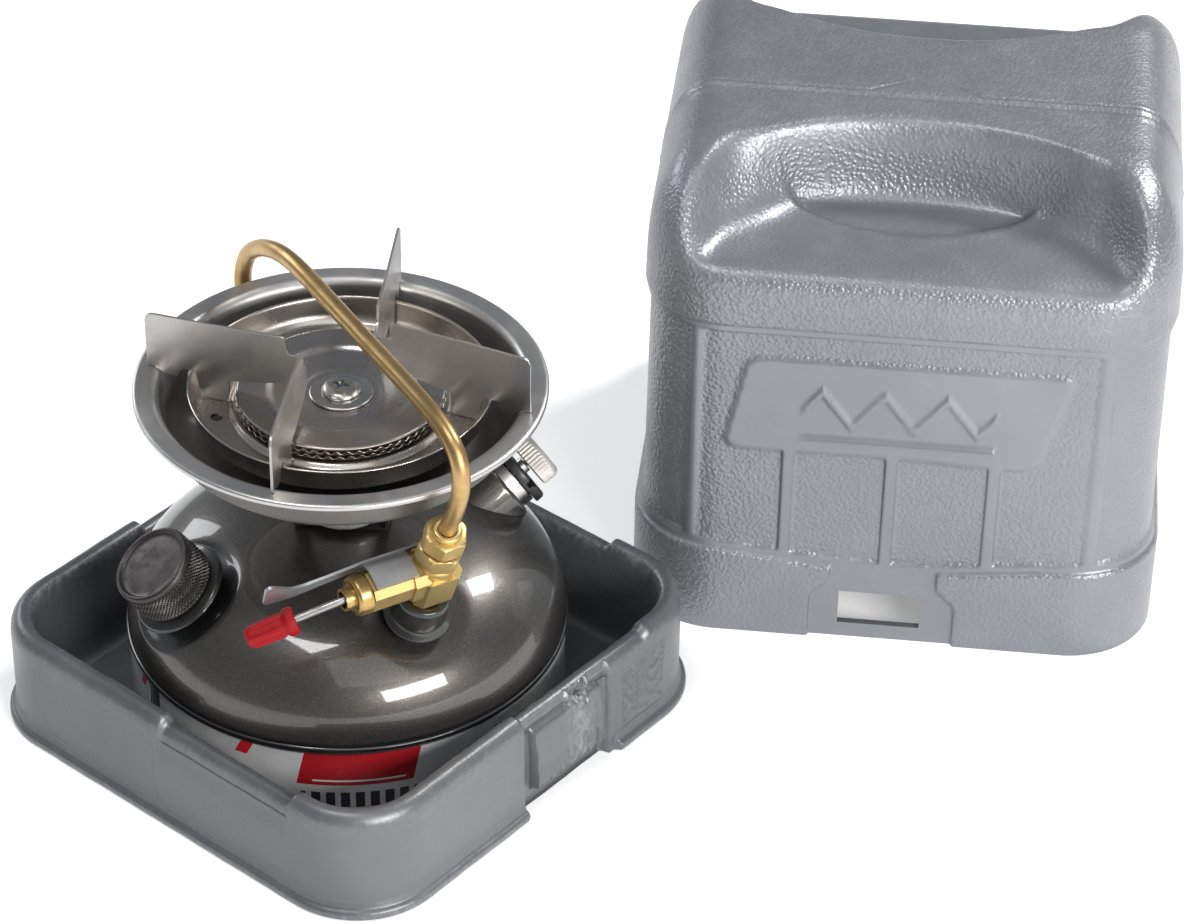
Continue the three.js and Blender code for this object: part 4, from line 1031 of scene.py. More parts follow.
def tank():
    def profile(off, steps):
        out = []
        for i in range(steps + 1):
            t = math.sin(math.pi / 2 * i / steps)
            r = (TANK_R + off) * (1 - (1 - t) ** 1.6)
            out.append((min(r, TANK_R + off), SEAM_Z if i == steps else dome_z(r, off)))
        return out
    outer = profile(0, 72)
    inner = profile(-TANK_WALL, 24)[::-1]
    lip = rounded([outer[-1], (TANK_R + 0.5, SEAM_Z - 0.3), (TANK_R + 0.5, SEAM_Z - 1.8),
                   (TANK_R - TANK_WALL, SEAM_Z - 1.8), inner[0]], 0.35)[1:-1]
    v, f = turned(outer + lip + inner, 256)
    # the drawn-in seats round the valve and the filler
    for at, r_seat, depth, soft in ((VALVE.at, 19.0, 2.3, 11.0), (FILLER.at, 21.0, 1.9, 5.0)):
        d = np.linalg.norm(v - at, axis=1)
        v = v - np.array([0, 0, 1.0]) * (depth * step(r_seat - soft / 2 - d, soft))[:, None]
    dome = outward(make("tank_upper", v, f))
    show(dome, "tank_enamel", "stove", "tank_paint", "tank_dome")
    cup_top, z0 = SEAM_Z - 2.1, 2.9

    def arc(r, c, b):
        """Corner of radius c up to radius r, from height b."""
        return [(r - c + c * math.sin(t), b + c - c * math.cos(t)) for t in np.linspace(0, math.pi / 2, 9)]
    cup = lathe("tank_lower", [(0, z0 + 2.4), (44, z0 + 2.4), (47, z0 + 1.4), (50, z0)] + arc(CUP_R, 6, z0)
                + [(CUP_R, cup_top), (CUP_R - TANK_WALL, cup_top)] + arc(CUP_R - TANK_WALL, 4.8,
                                                                         z0 + TANK_WALL)[::-1]
                + [(50.5, z0 + TANK_WALL), (44.5, z0 + 2.4 + TANK_WALL), (0, z0 + 2.4 + TANK_WALL)], 192)
    show(cup, "cup_enamel", "stove", "cup_paint", "tank_cup")
    # label: an open band, its ends either side of the join
    a = np.radians(np.linspace(-104.6, 249.4, 261))
    ri, ro, lo, hi = CUP_R + 0.1, CUP_R + 0.5, z0 + 7, cup_top - 1
    section = ((ri, lo), (ro, lo), (ro, hi), (ri, hi))
    v = np.array([[(r * math.cos(t), r * math.sin(t), z) for r, z in section] for t in a]).reshape(-1, 3)
    f = grid_faces(len(a), 4) + end_faces(len(a), 4)
    show(outward(make("label_band", v, f)), "label_print", "stove", "label_foil", "tank_label")


# ------------------------------------------------------------------ filler
def filler():
    neck = lathe("filler_collar", rounded([(8.6, -7), (11, -7), (11, 0.1), (15.2, 0.35), (16.2, 1.0),
                                           (15.4, 2.0),
                                           (12.2, 2.7), (11, 4.2), (11, 9.2), (10.4, 10), (8.6, 10)], 0.5,
                                           True), 112,
                 FILLER)
    show(neck, "black_steel", "stove", "black_metal", "filler_neck")
    r, s0, s1 = 13.4, 3.4, 16.4              # radius, foot and top of the cap
    a = np.linspace(0, 2 * math.pi, 378, endpoint=False)
    foot = rounded([(0.4, s0 + 10.0), (11.5, s0 + 10.0), (11.5, s0 + 0.2), (12.4, s0), (12.9, s0 + 0.3)],
                   0.3)
    diamonds = a * 63 / (2 * math.pi)        # 63 of them round the cap
    knurl = []
    for z in np.linspace(s0 + 0.6, s1 - 2.6, 46):
        p, q = diamonds + z * 0.72, diamonds - z * 0.72
        tri = np.minimum(np.abs((p % 1) - 0.5), np.abs((q % 1) - 0.5)) * 2
        fade = min(1.0, (z - s0 - 0.3) / 0.6, (s1 - 2.3 - z) / 0.6)
        knurl.append((r - 0.02 - 0.5 * fade * (1 - np.clip(tri * 1.5, 0, 1)), z))
    crown = rounded([(13.3, s1 - 2.4), (13.35, s1 - 1.4), (13.1, s1 - 0.35), (12.5, s1), (11.9, s1 - 0.05),
                     (11.2, s1 - 0.75), (10.2, s1 - 0.85), (6, s1 - 0.7), (0.4, s1 - 0.62)], 0.35)
    show(ribbed("filler_cap", FILLER, a, foot, knurl, crown, 40), "gunmetal", "fuel_cap", "gunmetal",
         "fuel_cap")
    carry("cap_gasket", "seal_rubber")
    carry("cap_insert", "aged_brass")


# ------------------------------------------------------------------ pump
def pump():
    inside, out, r = 62.0, 9.0, 10.2         # barrel: depth in the tank, length outside, radius
    boss = lathe("pump_collar", rounded([(r + 0.15, -12), (r + 2.4, -12), (r + 2.4, 4.4), (r + 1.5, 5.4),
                                         (r + 0.15, 5.4)], 0.6, True), 96, PUMP)
    # only what stands outside the dome is kept
    skin = [(q, dome_z(q, 0.15)) for q in np.linspace(TANK_R + 0.1, 0.0, 50)[1:]]
    cutter = lathe("tmp_dome", [(0, -20), (TANK_R + 0.15, -20), (TANK_R + 0.15, SEAM_Z)] + skin, 160)
    boolean(boss, [cutter], "DIFFERENCE")
    smooth_shade(boss)
    show(boss, "tank_enamel", "stove", "tank_paint", "pump_boss")
    barrel = lathe("pump_tube", rounded([(2.6, -inside), (r, -inside), (r, out), (r - 1, out),
                                         (r - 1, -inside + 1.2),
                                         (2.6, -inside + 1.2)], 0.3, True), 96, PUMP)
    show(barrel, "nickel", "stove", "nickel", "pump_barrel")
    s = out + 0.2
    rim = rounded([(3.4, s), (r + 1.6, s), (r + 1.6, s + 2.6), (r + 0.8, s + 3.4), (3.4, s + 3.4)], 0.5,
                  True)
    parts = [turned(rim, 72, PUMP), box(5, 3, 5.6, (0, r + 1.9, s + 0.2), PUMP)]
    notch = [box(4.2, 3.0, 3.0, (9.6, 2.0, s + 2.6), PUMP), box(4.2, 3.0, 3.0, (-9.6, 2.0, s + 2.6), PUMP),
             box(2.6, 4, 1.2, (0, r + 3.0, s - 0.6), PUMP)]
    show(weld_union("pump_cap", parts, notch, 35, 0.18), "black_moulding", "stove", "black_plastic",
         "pump_clip")
    rod_end = -inside + 12
    rod = rounded([(1.4, rod_end - 2), (2.6, rod_end - 2), (2.6, s + 5), (1.4, s + 5)], 0.3, True)
    show(lathe("plunger_rod", rod, 48, PUMP), "nickel", "pump_plunger", "nickel", "pump_rod")
    carry("pump_cup", "oiled_leather")
    k, knob_r = s + 5.4, 9.2
    a = np.linspace(0, 2 * math.pi, 360, endpoint=False)
    groove = 0.5 - 0.5 * np.cos(a * 45)      # 45 ribs
    foot = rounded([(0.3, -inside + 8), (1.1, -inside + 8), (1.1, k), (7.9, k), (8.7, k + 0.25)], 0.25)
    ribs = []
    for z in np.linspace(k + 0.5, k + 5.0, 10):
        fade = min(1.0, (z - k - 0.2) / 0.5, (k + 5.3 - z) / 0.5)
        ribs.append((knob_r - 0.05 - 0.42 * fade * groove, z))
    crown = rounded([(8.8, k + 5.35), (8.3, k + 6.1), (7.4, k + 6.6), (6.4, k + 6.35), (3, k + 6.15),
                     (0.3, k + 6.1)], 0.35)
    knob = ribbed("plunger_knob", PUMP, a, foot, ribs, crown, 45)
    show(knob, "knob_grey", "pump_knob", "knob_grey", "pump_knob")


# ------------------------------------------------------------------ fuel valve
BLOCK_S, NUT_S, BARREL_S = (17.0, 35.0), (35.4, 51.0), 27.0      # places along the valve's axis
BARREL_END, BLOCK_HALF = 22.5, 7.0
BARREL = Frame(VALVE.point(BARREL_S), -VALVE.x, VALVE.z)
LEVER_DIR = heading(-124.7) * math.cos(rad(-17)) + (0, 0, math.sin(rad(-17)))


def chamfered(h, c):
    """Square of half width h with its corners cut back by c."""
    return [(h, -h + c), (h, h - c), (h - c, h), (-h + c, h), (-h, h - c), (-h, -h + c), (-h + c, -h),
            (h - c, -h)]


def valve():
    bung = lathe("valve_ring", rounded([(5.1, -6), (7, -6), (7, 0.2), (10.4, 0.3), (10.8, 1.2), (9.6, 2.4),
                                        (8.8, 3.4),
                                        (8.5, 11.8), (7.6, 13.2), (6.2, 13.2), (5.1, 12.4)], 0.5, True), 96,
                                        VALVE)
    show(bung, "black_steel", "stove", "black_metal", "valve_bung")
    b0, b1 = BLOCK_S
    body = [turned(rounded([(0, -10), (4.8, -10), (4.8, b0 - 1.2), (6.6, b0 + 0.6), (6.6, b0 + 3),
                            (0, b0 + 3)], 0.3),
                   64, VALVE),
            prism(chamfered(BLOCK_HALF, 2.2), b0 + 0.6, b1 - 4.2, VALVE),
            prism(chamfered(BLOCK_HALF - 0.9, 2.4), b1 - 4.6, b1 - 2.4, VALVE),
            turned(rounded([(0, b1 - 6), (6.5, b1 - 6), (6.5, b1 - 0.7), (5.9, b1), (0, b1)], 0.3), 64,
                   VALVE),
            prism(chamfered(5.4, 2.1), 4, BARREL_END - 0.05, BARREL),
            prism(chamfered(6.2, 2.3), 4, 9.2, BARREL)]
    holes = [bored(2.8, 8, BARREL_END + 1, BARREL, 40), bored(2.95, b1 - 4, b1 + 1, VALVE, 40)]
    show(weld_union("valve_casting", body, holes, 30, 0.32), "bright_brass", "stove", "brass", "valve_body")
    carry("pickup_tube", "aged_brass")
    # two stacked hexagons with a turned waist, and the ferrule the tube comes out of
    n0, n1 = NUT_S
    nut = [hexagon(13.0, n0, n0 + 6.6, VALVE, 0.8, 0.2),
           turned(rounded([(0, n0 + 5), (5.5, n0 + 5), (5.5, n0 + 8.4), (0, n0 + 8.4)], 0.3), 64, VALVE),
           hexagon(12.2, n0 + 7.4, n1 - 1.6, VALVE, 0.9, 0.55),
           turned(rounded([(0, n1 - 4), (4.6, n1 - 4), (4.6, n1 - 0.7), (4.0, n1), (0, n1)], 0.4), 64,
                  VALVE)]
    bore = [bored(3.0, n0 - 1, n1 + 1, VALVE, 48)]
    show(weld_union("tube_nut", nut, bore, 28, 0.12), "bright_brass", "stove", "brass", "generator_nut")
    e = BARREL_END
    pack = [turned(rounded([(0, e + 0.1), (6.1, e + 0.1), (6.3, e + 0.9), (6.3, e + 3.9), (5.9, e + 4.7),
                            (5.2, e + 5.0), (0, e + 5.0)], 0.3), 96, BARREL),
            turned(rounded([(0, e + 4), (2.7, e + 4), (2.7, e + 5.2), (2.3, e + 5.6), (0, e + 5.6)], 0.2),
                   64, BARREL)]
    drill = [bored(1.8, e - 1, e + 8, BARREL, 32),
             turned([(4.5, e + 4.5), (5.0, e + 4.5), (5.0, e + 8), (4.5, e + 8)], 96, BARREL),
             turned([(2.72, e + 4.2), (3.5, e + 4.2), (3.5, e + 8), (2.72, e + 8)], 96, BARREL)]
    show(weld_union("gland_nut", pack, drill, 28, 0.08), "aged_brass", "stove", "brass", "packing_nut")
    # cranked control rod and its red grip
    rod_out = e + 7.4
    start = BARREL.point(rod_out)

    def lever(s):
        return start + LEVER_DIR * s
    crank = BARREL.point(rod_out - 0.8) * 0.5 + lever(0.4) * 0.5
    line = [BARREL.point(9), BARREL.point(16), BARREL.point(rod_out - 1.8), crank, lever(1.6), lever(9),
            lever(24),
            lever(29.5)]
    show(outward(make("control_rod", *sweep(catmull(line, 70), 1.2, 20))), "rod_steel", "control_lever",
         "nickel",
         "control_stem")
    grip = Frame(lever(15.5), LEVER_DIR, (0, 0, 1))
    length = 16.0
    a = np.linspace(0, 2 * math.pi, 144, endpoint=False)
    rib = np.maximum(0, np.cos(a * 6)) ** 3
    foot = rounded([(0.2, length - 1.4), (1.5, length - 1.4), (1.5, 1.8), (2.5, 1.2), (2.7, 0.2), (3.8, 0),
                    (4.45, 0.6), (4.5, 2.6), (3.9, 3.4)], 0.3)
    ribs = []
    for z in np.linspace(3.8, length - 1.6, 16):
        fade = min(1.0, (z - 3.6) / 0.8, (length - 1.2 - z) / 0.9)
        taper = 3.5 - 0.35 * (z - 3.8) / 11
        ribs.append((taper + 0.75 * fade * rib, z))
    crown = rounded([(3.1, length - 1.0), (2.7, length - 0.25), (2.0, length), (0.2, length)], 0.4)
    knob = ribbed("control_knob", grip, a, foot, ribs, crown, 50)
    show(knob, "red_moulding", "control_lever", "red_plastic", "control_grip")
    strip()


def strip():
    """Stamped strip: it saddles the top of the barrel and runs on as a flat arm with a small flag."""
    # x along the barrel, z towards the burner
    sheet = Frame(BARREL.at, np.cross(BARREL.z, VALVE.z), BARREL.z)
    t = 0.9
    saddle_in, side = 5.9, BLOCK_HALF + 0.3
    path = [(-3.4, saddle_in + 0.15), (0, saddle_in + 0.3), (4.2, saddle_in + 0.1), (6.2, saddle_in - 1.2),
            (side - 0.2, 2.4), (side, 0.6), (side, -0.4)]
    p = np.array(rounded(path, 1.6, parts=4))
    d = np.gradient(p, axis=0)
    d /= np.linalg.norm(d, axis=1)[:, None]
    out = p + t * np.c_[-d[:, 1], d[:, 0]]
    section = np.vstack([p, out[::-1]])
    xs = [7.6, 8.0, BARREL_END - 1.4, BARREL_END - 1.0]
    points = sheet(np.array([(x, y, z) for x in xs for z, y in section]))
    n = len(section)
    faces = grid_faces(len(xs), n)
    for base in (0, (len(xs) - 1) * n):
        faces += [(base + i, base + i + 1, base + n - 2 - i, base + n - 1 - i) for i in range(n // 2 - 1)]
    arm = [(-3.6, 0.4), (25.5, 0.4), (37.5, -2.2), (44, -4.0), (52, -4.6), (52.4, 4.4), (50.4, 5.2),
           (43.6, 1.3),
           (40, 1.2), (33, 2.4), (BARREL_END - 1.2, 4.2), (-3.6, 4.2)]
    arm = rounded(arm, 1.4, True, 4)
    # beyond 24 mm the arm bows towards the burner
    flat = [(x, y, side + 0.0018 * max(0.0, x - 24) ** 2) for x, y in arm]
    v = sheet(np.array([(x, y, z + lift) for lift in (0, t) for x, y, z in flat]))
    f = end_faces(2, len(arm)) + grid_faces(2, len(arm))
    joined = weld_union("barrel_strip", [(v, f), (points, faces)], (), 30, 0.12)
    show(joined, "grey_strip", "stove", "nickel", "valve_strip")


# ------------------------------------------------------------------ generator
JET_Z = 90.0                             # height at which the jet blows into the drum


def generator():
    """The tube rises from the valve, crosses over the burner and comes down behind the bowl to the jet."""
    top = 149.4
    route = [(73.6, 122), (77, 131), (77.4, 139), (73.4, 145.4), (65, 148.4), (50, top), (20, top),
             (-12, top),
             (-30, top - 0.3), (-43, 146.4), (-55, 140.6), (-64, 133), (-68.4, 124), (-69, 114),
             (-68.6, 103),
             (-65.4, 94.6), (-57, 90.6), (-46, JET_Z), (-35, JET_Z)]
    across = heading(VALVE_TURN)
    line = [VALVE.point(d) for d in (34.2, 41, 48, 55)] + [across * r + (0, 0, z) for r, z in route]
    pipe = outward(make("generator_pipe", *sweep(catmull(line, 260), 2.8, 28), 40))
    show(pipe, "tube_brass", "stove", "brass", "generator_tube")
    jet = Frame(across * -37.2 + (0, 0, JET_Z), across, (0, 0, 1))
    parts = [hexagon(9, 0, 4, jet, 0.6),
             turned(rounded([(0, 3), (3, 3), (3, 6), (1.6, 7.4), (0, 7.4)], 0.2), 40, jet)]
    holes = [bored(3.0, -1, 2.6, jet, 40), bored(0.6, -1, 9, jet, 16)]
    show(weld_union("jet_tip", parts, holes, 30), "aged_brass", "stove", "brass", "generator_jet")


# ------------------------------------------------------------------ burner
BOWL_R, BOWL_Z, BOWL_FLOOR = 63.6, 123.4, 104.4
PAN_R, PAN_Z, PAN_FLOOR, SHEET = 47.0, 123.4, 115.2, 0.9
RING_R, RING_Z = (24.0, 32.6), 116.9


def burner():
    bowl = lathe("bowl_outer", rounded([
        (10.4, BOWL_FLOOR - SHEET), (42, BOWL_FLOOR - SHEET), (49, BOWL_FLOOR + 0.6), (54, BOWL_FLOOR + 5),
        (57, BOWL_Z - SHEET - 1.2), (58, BOWL_Z - SHEET), (BOWL_R - 0.8, BOWL_Z - SHEET - 0.05),
        (BOWL_R - 0.35, BOWL_Z - 2.0), (BOWL_R + 0.25, BOWL_Z - 1.9), (BOWL_R + 0.3, BOWL_Z - 0.5, 0.8),
        (BOWL_R - 0.6, BOWL_Z - 0.05), (57.9, BOWL_Z, 1.4), (56.2, BOWL_Z - 1.6, 1.6),
        (53.2, BOWL_FLOOR + 5.6, 3),
        (48.6, BOWL_FLOOR + 1.5, 3), (41.8, BOWL_FLOOR, 2), (10.4, BOWL_FLOOR)], 0.4, True, 4), 240)
    show(bowl, "bowl_steel", "stove", "steel", "wind_bowl")
    p = PAN_FLOOR
    profile = rounded([
        (12, p - SHEET), (43, p - SHEET), (45.4, p + 0.8), (PAN_R, PAN_Z - 0.6), (PAN_R + 0.3, PAN_Z - 0.1),
        (PAN_R - 0.2, PAN_Z + 0.3), (PAN_R - 0.8, PAN_Z - 0.2), (45.9, PAN_Z - 1.6), (44.7, p + 2.0, 1.6),
        (42.9, p + 0.05, 1.2), (41.0, p, 0.5), (RING_R[1] + 2.2, p, 0.5), (RING_R[1] + 0.8, p + 1.35, 0.6),
        (RING_R[0] - 1, p + 1.4), (RING_R[0] - 2.2, p), (12, p)], 0.4, True, 4)
    pan = lathe("bowl_inner", profile, 240)
    holes = [tmp(bored(2.0, p - 3, p + 3, Frame(38.6 * heading(a)), 32)) for a in (205, 232, 52)]
    boolean(pan, holes, "DIFFERENCE")
    smooth_shade(pan)
    show(pan, "pan_steel", "stove", "steel", "inner_pan")
    # flat and crimped rings in turn
    z, flat_t, gap, amp, thick = RING_Z, 0.5, 0.08, 0.36, 0.20
    for i in (1, 2):
        flat = [(RING_R[0], z), (RING_R[1] - 0.5, z), (RING_R[1] - 0.5, z + flat_t), (RING_R[0], z + flat_t)]
        show(lathe(f"flat_ring_{i}", rounded(flat, 0.12, True), 160), "ring_steel", "stove", "steel",
             f"ring_flat_{i}")
        z += flat_t + gap
        n, waves = 720, 60
        a = np.linspace(0, 2 * math.pi, n, endpoint=False)
        mid = z + (2 * amp + 0.36) / 2 + (amp + 0.07) * np.sin(waves * a + 1.6 * i)
        section = ((RING_R[0], -thick / 2), (RING_R[1] - 0.05, -thick / 2), (RING_R[1], 0),
                   (RING_R[1] - 0.05, thick / 2), (RING_R[0], thick / 2))
        v = np.concatenate([np.c_[r * np.cos(a), r * np.sin(a), mid + h] for r, h in section])
        f = grid_faces(5, n)
        k = np.arange(n)
        f += [tuple(q) for q in np.stack([4 * n + k, 4 * n + (k + 1) % n, (k + 1) % n, k], 1)]
        show(outward(make(f"crimped_ring_{i}", v, f, 40)), "crimp_steel", "stove", "steel", f"ring_wave_{i}")
        z += 2 * amp + 0.36 + gap
    cz = z + 0.02
    dish = cz - 2.2
    cap = lathe("burner_lid", rounded([
        (2.25, dish), (12, dish), (13.4, dish + 0.5), (22, dish + 0.9), (23.4, cz), (32.2, cz),
        (32.3, cz + 0.5, 0.3),
        (31.7, cz + SHEET, 0.6), (27.5, cz + SHEET - 0.1), (23.2, cz + SHEET + 0.05, 1.6),
        (21.2, dish + 0.9 + SHEET, 1.6),
        (16.5, dish + 0.75 + SHEET, 1.0), (13, dish + 0.5 + SHEET, 0.8), (11.4, dish + SHEET, 0.6),
        (2.25, dish + SHEET)],
        0.3, True, 4), 200)
    show(cap, "cap_steel", "stove", "steel", "burner_cap")
    wz = dish + SHEET + 0.05
    disc = rounded([(2.25, wz), (9.6, wz), (10, wz + 0.4), (9.6, wz + 0.8), (2.25, wz + 0.8)], 0.25, True)
    show(lathe("flat_washer", disc, 96), "screw_steel", "stove", "steel", "screw_washer")
    hz = wz + 0.85
    head = turned(rounded([(0, 107.8), (1.6, 107.8), (2, 108.4), (2, hz), (5.9, hz), (6.1, hz + 0.7, 0.5),
                           (5.3, hz + 1.75, 1), (3.4, hz + 2.35, 1), (0, hz + 2.5)], 0.15, parts=5), 72)
    slot = [(-2.6, -0.5), (2.6, -0.5), (2.6, 0.5), (-2.6, 0.5)]
    cross = [prism(slot, hz + 1.1, hz + 3.4, Frame(side=heading(a))) for a in (20, 110)]
    cross.append(turned([(0, hz + 0.9), (0.8, hz + 1.0), (1.5, hz + 3), (0, hz + 3)], 24))
    show(weld_union("cross_screw", [head], cross, 30), "screw_steel", "stove", "nickel", "burner_screw")
    # drum, its port and the bracket under the bowl
    base, z1, ntop = dome_z(0) + 0.3 + 1.1 + 0.3, 103.4, p - SHEET - 0.3
    body = [(0, base), (11.9, base, 0.8), (13.4, base + 1.5, 0.8), (13.4, z1 - 1.5, 0.8),
            (11.4, z1 - 0.6, 0.5),
            (10, z1, 0.5), (10, ntop - 0.8), (15.5, ntop - 0.8), (15.5, ntop), (9, ntop), (9, z1 - 1.4),
            (12.4, z1 - 2.6), (12.4, base + 2), (11.4, base + 1), (0, base + 1)]
    drum = lathe("mixing_drum", rounded(body, 0.3), 120)
    towards_jet = Frame((0, 0, JET_Z), -heading(VALVE_TURN), (0, 0, 1))
    boolean(drum, [tmp(bored(4, 8, 16, towards_jet, 40))], "DIFFERENCE")
    port = rounded([(4, 13.0), (5, 13.0), (5, 20), (6.4, 24.6), (5.6, 24.8), (4, 20.4)], 0.25, True)
    boolean(drum, [tmp(turned(port, 56, towards_jet))], "UNION")
    smooth_shade(drum)
    # the drum's material carries painted reflection in its light colour
    show(drum, "drum_painted_reflection", "stove", "chrome", "mixing_chamber")
    bracket(base - 1.4, BOWL_FLOOR - SHEET - 0.3)


def bracket(z0, z1):
    """One folded strip: a foot on the tank, two walls, and a lug on each under the bowl."""
    place = Frame(side=heading(35))
    y, w, t = 13.9, 18.0, 1.1
    parts = [box(2 * (y + t), w, t, (0, 0, z0 + t / 2), place)]
    for sd in (-1, 1):
        parts.append(box(t, w, z1 - z0, (sd * (y + t / 2), 0, (z0 + z1) / 2), place))
        parts.append(box(9, w, t, (sd * (y + 4.5), 0, z1 - t / 2), place))
    show(weld_union("burner_stand", parts, (), 30, 0.35), "black_bracket", "stove", "black_metal",
         "burner_bracket")


# ------------------------------------------------------------------ pot grate
def grate(number, axis, half, material):
    """One sheet folded into two fins, `half` degrees either side of its axis."""
    bend_r, tip_r, top, t = 12.0, 60.5, 143.0, 0.9

    def away(r):
        """Distance along a fin from the fold to radius r on the stove."""
        return -bend_r * math.cos(rad(half)) + math.sqrt(r * r - (bend_r * math.sin(rad(half))) ** 2)
    tip = away(tip_r)
    low = [(0, 130.5), (5, 126.2), (away(29), 123.6), (away(33.8), 123.2), (away(34.8), PAN_FLOOR + 0.3),
           (away(41.6), PAN_FLOOR + 0.3), (away(43.8), PAN_FLOOR + 3.6), (away(44.9), PAN_Z + 1),
           (away(49.2), PAN_Z + 1),
           (away(51), 121), (away(55), 121.6), (away(57.4), BOWL_Z + 0.15), (tip - 0.4, BOWL_Z + 0.15),
           (tip, BOWL_Z + 0.5)]
    high = [(0, 136.6), (4.9, 136.9), (5.8, 137.4), (6.2, 138.4), (6.5, 142.0), (6.9, 142.7), (7.8, top),
            (tip - 2.2, top),
            (tip - 1.0, top - 0.5), (tip - 0.3, top - 1.4), (tip, top - 2.6)]
    u = np.unique(np.round(np.r_[[a for a, _ in low], [a for a, _ in high], np.arange(0, 6, 0.4),
                                 np.arange(6, tip, 2.0), away(34.3), away(44.3)], 3))
    lo = np.interp(u, [a for a, _ in low], [b for _, b in low])
    hi = np.interp(u, [a for a, _ in high], [b for _, b in high])
    u = np.r_[-u[::-1], u[1:]]
    lo, hi = np.r_[lo[::-1], lo[1:]], np.r_[hi[::-1], hi[1:]]
    # the fold: an arc of small radius between the two straight fins
    spread = rad(180 - 2 * half)
    arc_r = 2.2
    out_of = heading(axis)[:2]
    cross_ = np.array([-out_of[1], out_of[0]])
    corner = out_of * bend_r
    set_in = arc_r * math.tan(spread / 2)

    def plan_at(q):
        """Middle line of the sheet and its normal, folded; the corner keeps its place."""
        sg = np.sign(q) if q else 1.0
        a = abs(q)
        d = out_of * math.cos(rad(half)) + sg * cross_ * math.sin(rad(half))
        if a >= set_in:
            n = np.array([-d[1], d[0]]) * sg
            return corner + d * a, n
        k = a / set_in * spread / 2
        centre = corner + out_of * (arc_r / math.cos(spread / 2))
        n = -out_of * math.cos(k) + sg * cross_ * math.sin(k)
        return centre + n * arc_r, n
    mids = [plan_at(float(q)) for q in u]
    # normals point to the inner (centre) side everywhere
    P = np.array([m[0] for m in mids])
    N = np.array([m[1] for m in mids])
    N[N @ -out_of < 0] *= -1
    # a trace of hand-bent waviness
    wob = 0.12 * np.sin(np.array(u) * 0.11 + number)
    P = P + N * wob[:, None]
    # five rows of points up each side of the sheet
    v = np.concatenate([np.c_[P + N * out, lo + (hi - lo) * up] for out in (t / 2, -t / 2)
                        for up in np.linspace(0, 1, 5)])
    m = len(u)
    f = [(a + i, a + i + 1, a + m + i + 1, a + m + i) for row in (0, 1, 2, 3, 5, 6, 7, 8) for a in (row * m,)
         for i in range(m - 1)]
    for i in range(m - 1):
        f.append((i, i + 1, 5 * m + i + 1, 5 * m + i))
        f.append((4 * m + i, 4 * m + i + 1, 9 * m + i + 1, 9 * m + i))
    for r in range(4):
        for i in (0, m - 1):
            f.append((r * m + i, (r + 1) * m + i, (5 + r + 1) * m + i, (5 + r) * m + i))
    ob = outward(make(f"grate_sheet_{number}", v, f, 30))
    soften(ob, 0.14, 1, 50)
    show(ob, material, "stove", "aluminium", f"grate_{number}")


tank()
filler()
pump()
carry("check_valve", "aged_brass")
valve()
generator()
burner()
grate(1, 253, 49, "grate_a")
grate(2, 70, 54, "grate_b")


# ------------------------------------------------------------------ stage, light and camera
floor_mat = bpy.data.materials.new("floor_white")
floor_mat.use_nodes = True
fb = floor_mat.node_tree.nodes["Principled BSDF"]
fb.inputs["Base Color"].default_value = (0.90, 0.90, 0.90, 1)
fb.inputs["Emission Color"].default_value = (1, 1, 1, 1)
fb.inputs["Emission Strength"].default_value = 0.30
fb.inputs["Roughness"].default_value = 0.75
fb.inputs["Specular IOR Level"].default_value = 0.2
FLOOR_HALF, FLOOR_Z = 6000, -0.02
corners = [(-1, -1), (1, -1), (1, 1), (-1, 1)]
floor = make("floor", [(x * FLOOR_HALF, y * FLOOR_HALF, FLOOR_Z) for x, y in corners], [(0, 1, 2, 3)])
floor.data.materials.append(floor_mat)

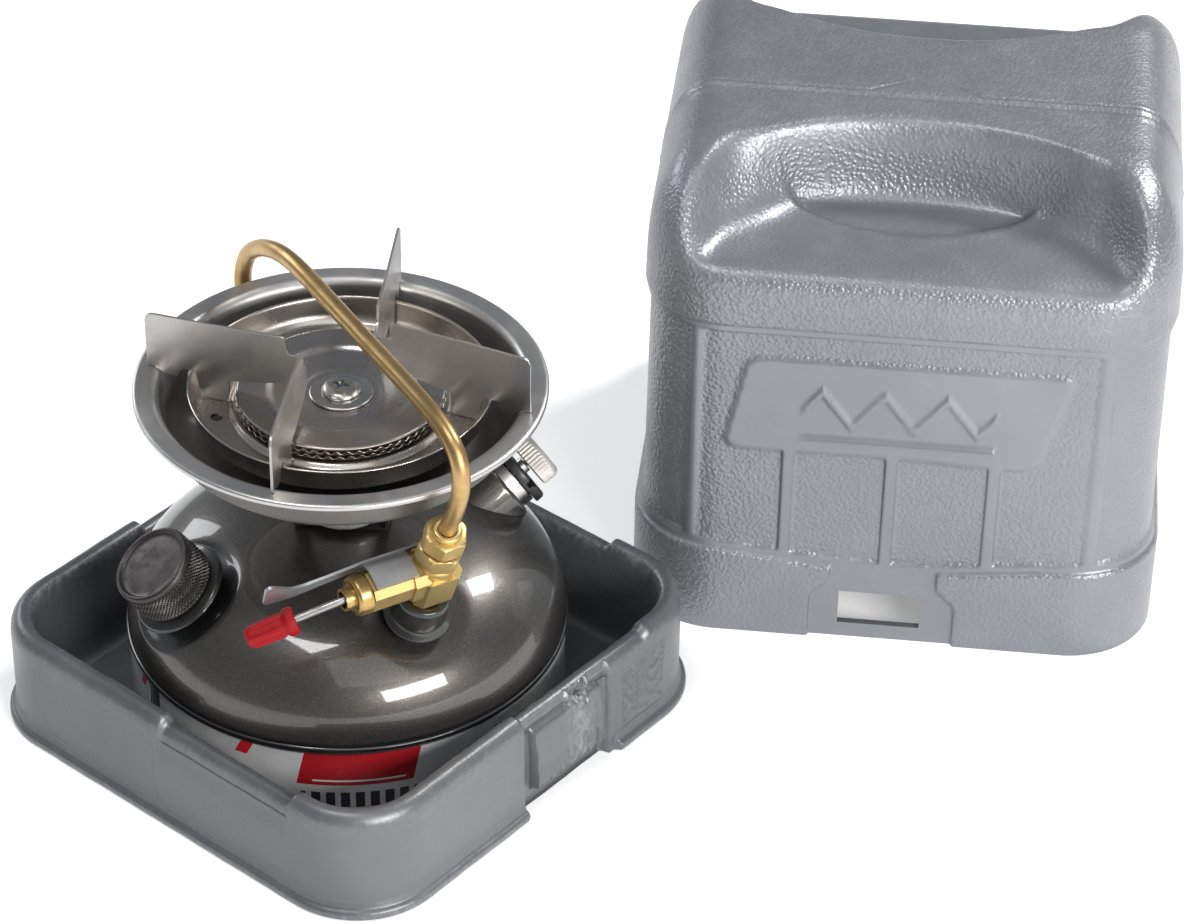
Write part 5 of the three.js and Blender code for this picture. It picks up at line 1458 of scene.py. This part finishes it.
world = bpy.context.scene.world or bpy.data.worlds.new("world")
bpy.context.scene.world = world
world.use_nodes = True
bg = next(n for n in world.node_tree.nodes if n.type == "BACKGROUND")
bg.inputs["Color"].default_value = (0.80, 0.85, 0.93, 1)
bg.inputs["Strength"].default_value = 0.26
view = bpy.context.scene.view_settings
view.view_transform = "Standard"
view.look = "None"
view.exposure = 0.0


def lit_from(name, target, direction, distance, size, power, colour=(1, 1, 1)):
    """A soft box that looks at the target from a direction."""
    data = bpy.data.lights.new(name, "AREA")
    data.shape, data.energy, data.color = "RECTANGLE", power, colour
    data.size, data.size_y = size
    ob = bpy.data.objects.new(name, data)
    bpy.context.scene.collection.objects.link(ob)
    ob.location = Vector(target) + Vector(direction).normalized() * distance
    ob.rotation_mode = "QUATERNION"
    ob.rotation_quaternion = (Vector(target) - ob.location).to_track_quat("-Z", "Y")
    return data


lit_from("key", (0.055, -0.03, 0.05), (0.89, -0.20, 0.41), 1.7, (0.95, 0.45), 28, (1, 0.99, 0.98))
lit_from("front", (0.05, 0.06, 0.06), (0.48, -0.34, 0.83), 1.7, (1.0, 1.0), 3.5)
lit_from("top", (0.03, -0.045, 0.06), (-0.07, -0.23, 0.97), 1.6, (0.5, 0.35), 7)
lit_from("back", (0.05, 0.01, 0.06), (0.13, 0.70, 0.70), 1.7, (0.25, 0.3), 17, (1, 0.99, 0.97))
left = lit_from("left", (0.0, 0.05, 0.05), (-0.93, 0.05, 0.40), 1.8, (0.9, 0.5), 7, (0.96, 0.98, 1))
left.specular_factor = 0.2


def camera():
    """Long lens from above, in front and to the right; the roll turns the picture a little."""
    az, el, roll = rad(39.391), rad(36.357), rad(0.99)
    back = Vector((math.sin(az) * math.cos(el), -math.cos(az) * math.cos(el), math.sin(el)))
    right0 = Vector((math.cos(az), math.sin(az), 0))
    up0 = back.cross(right0)
    right = right0 * math.cos(roll) + up0 * math.sin(roll)
    up = back.cross(right)
    data = bpy.data.cameras.new("camera")
    data.lens, data.sensor_width, data.sensor_fit = 118.97, 36.0, "HORIZONTAL"
    data.clip_start, data.clip_end = 0.05, 50
    ob = bpy.data.objects.new("camera", data)
    bpy.context.scene.collection.objects.link(ob)
    m = Matrix((right, up, back)).transposed().to_4x4()
    m.translation = Vector((0.6921, -0.7170, 0.8256))
    ob.matrix_world = m
    bpy.context.scene.camera = ob


camera()
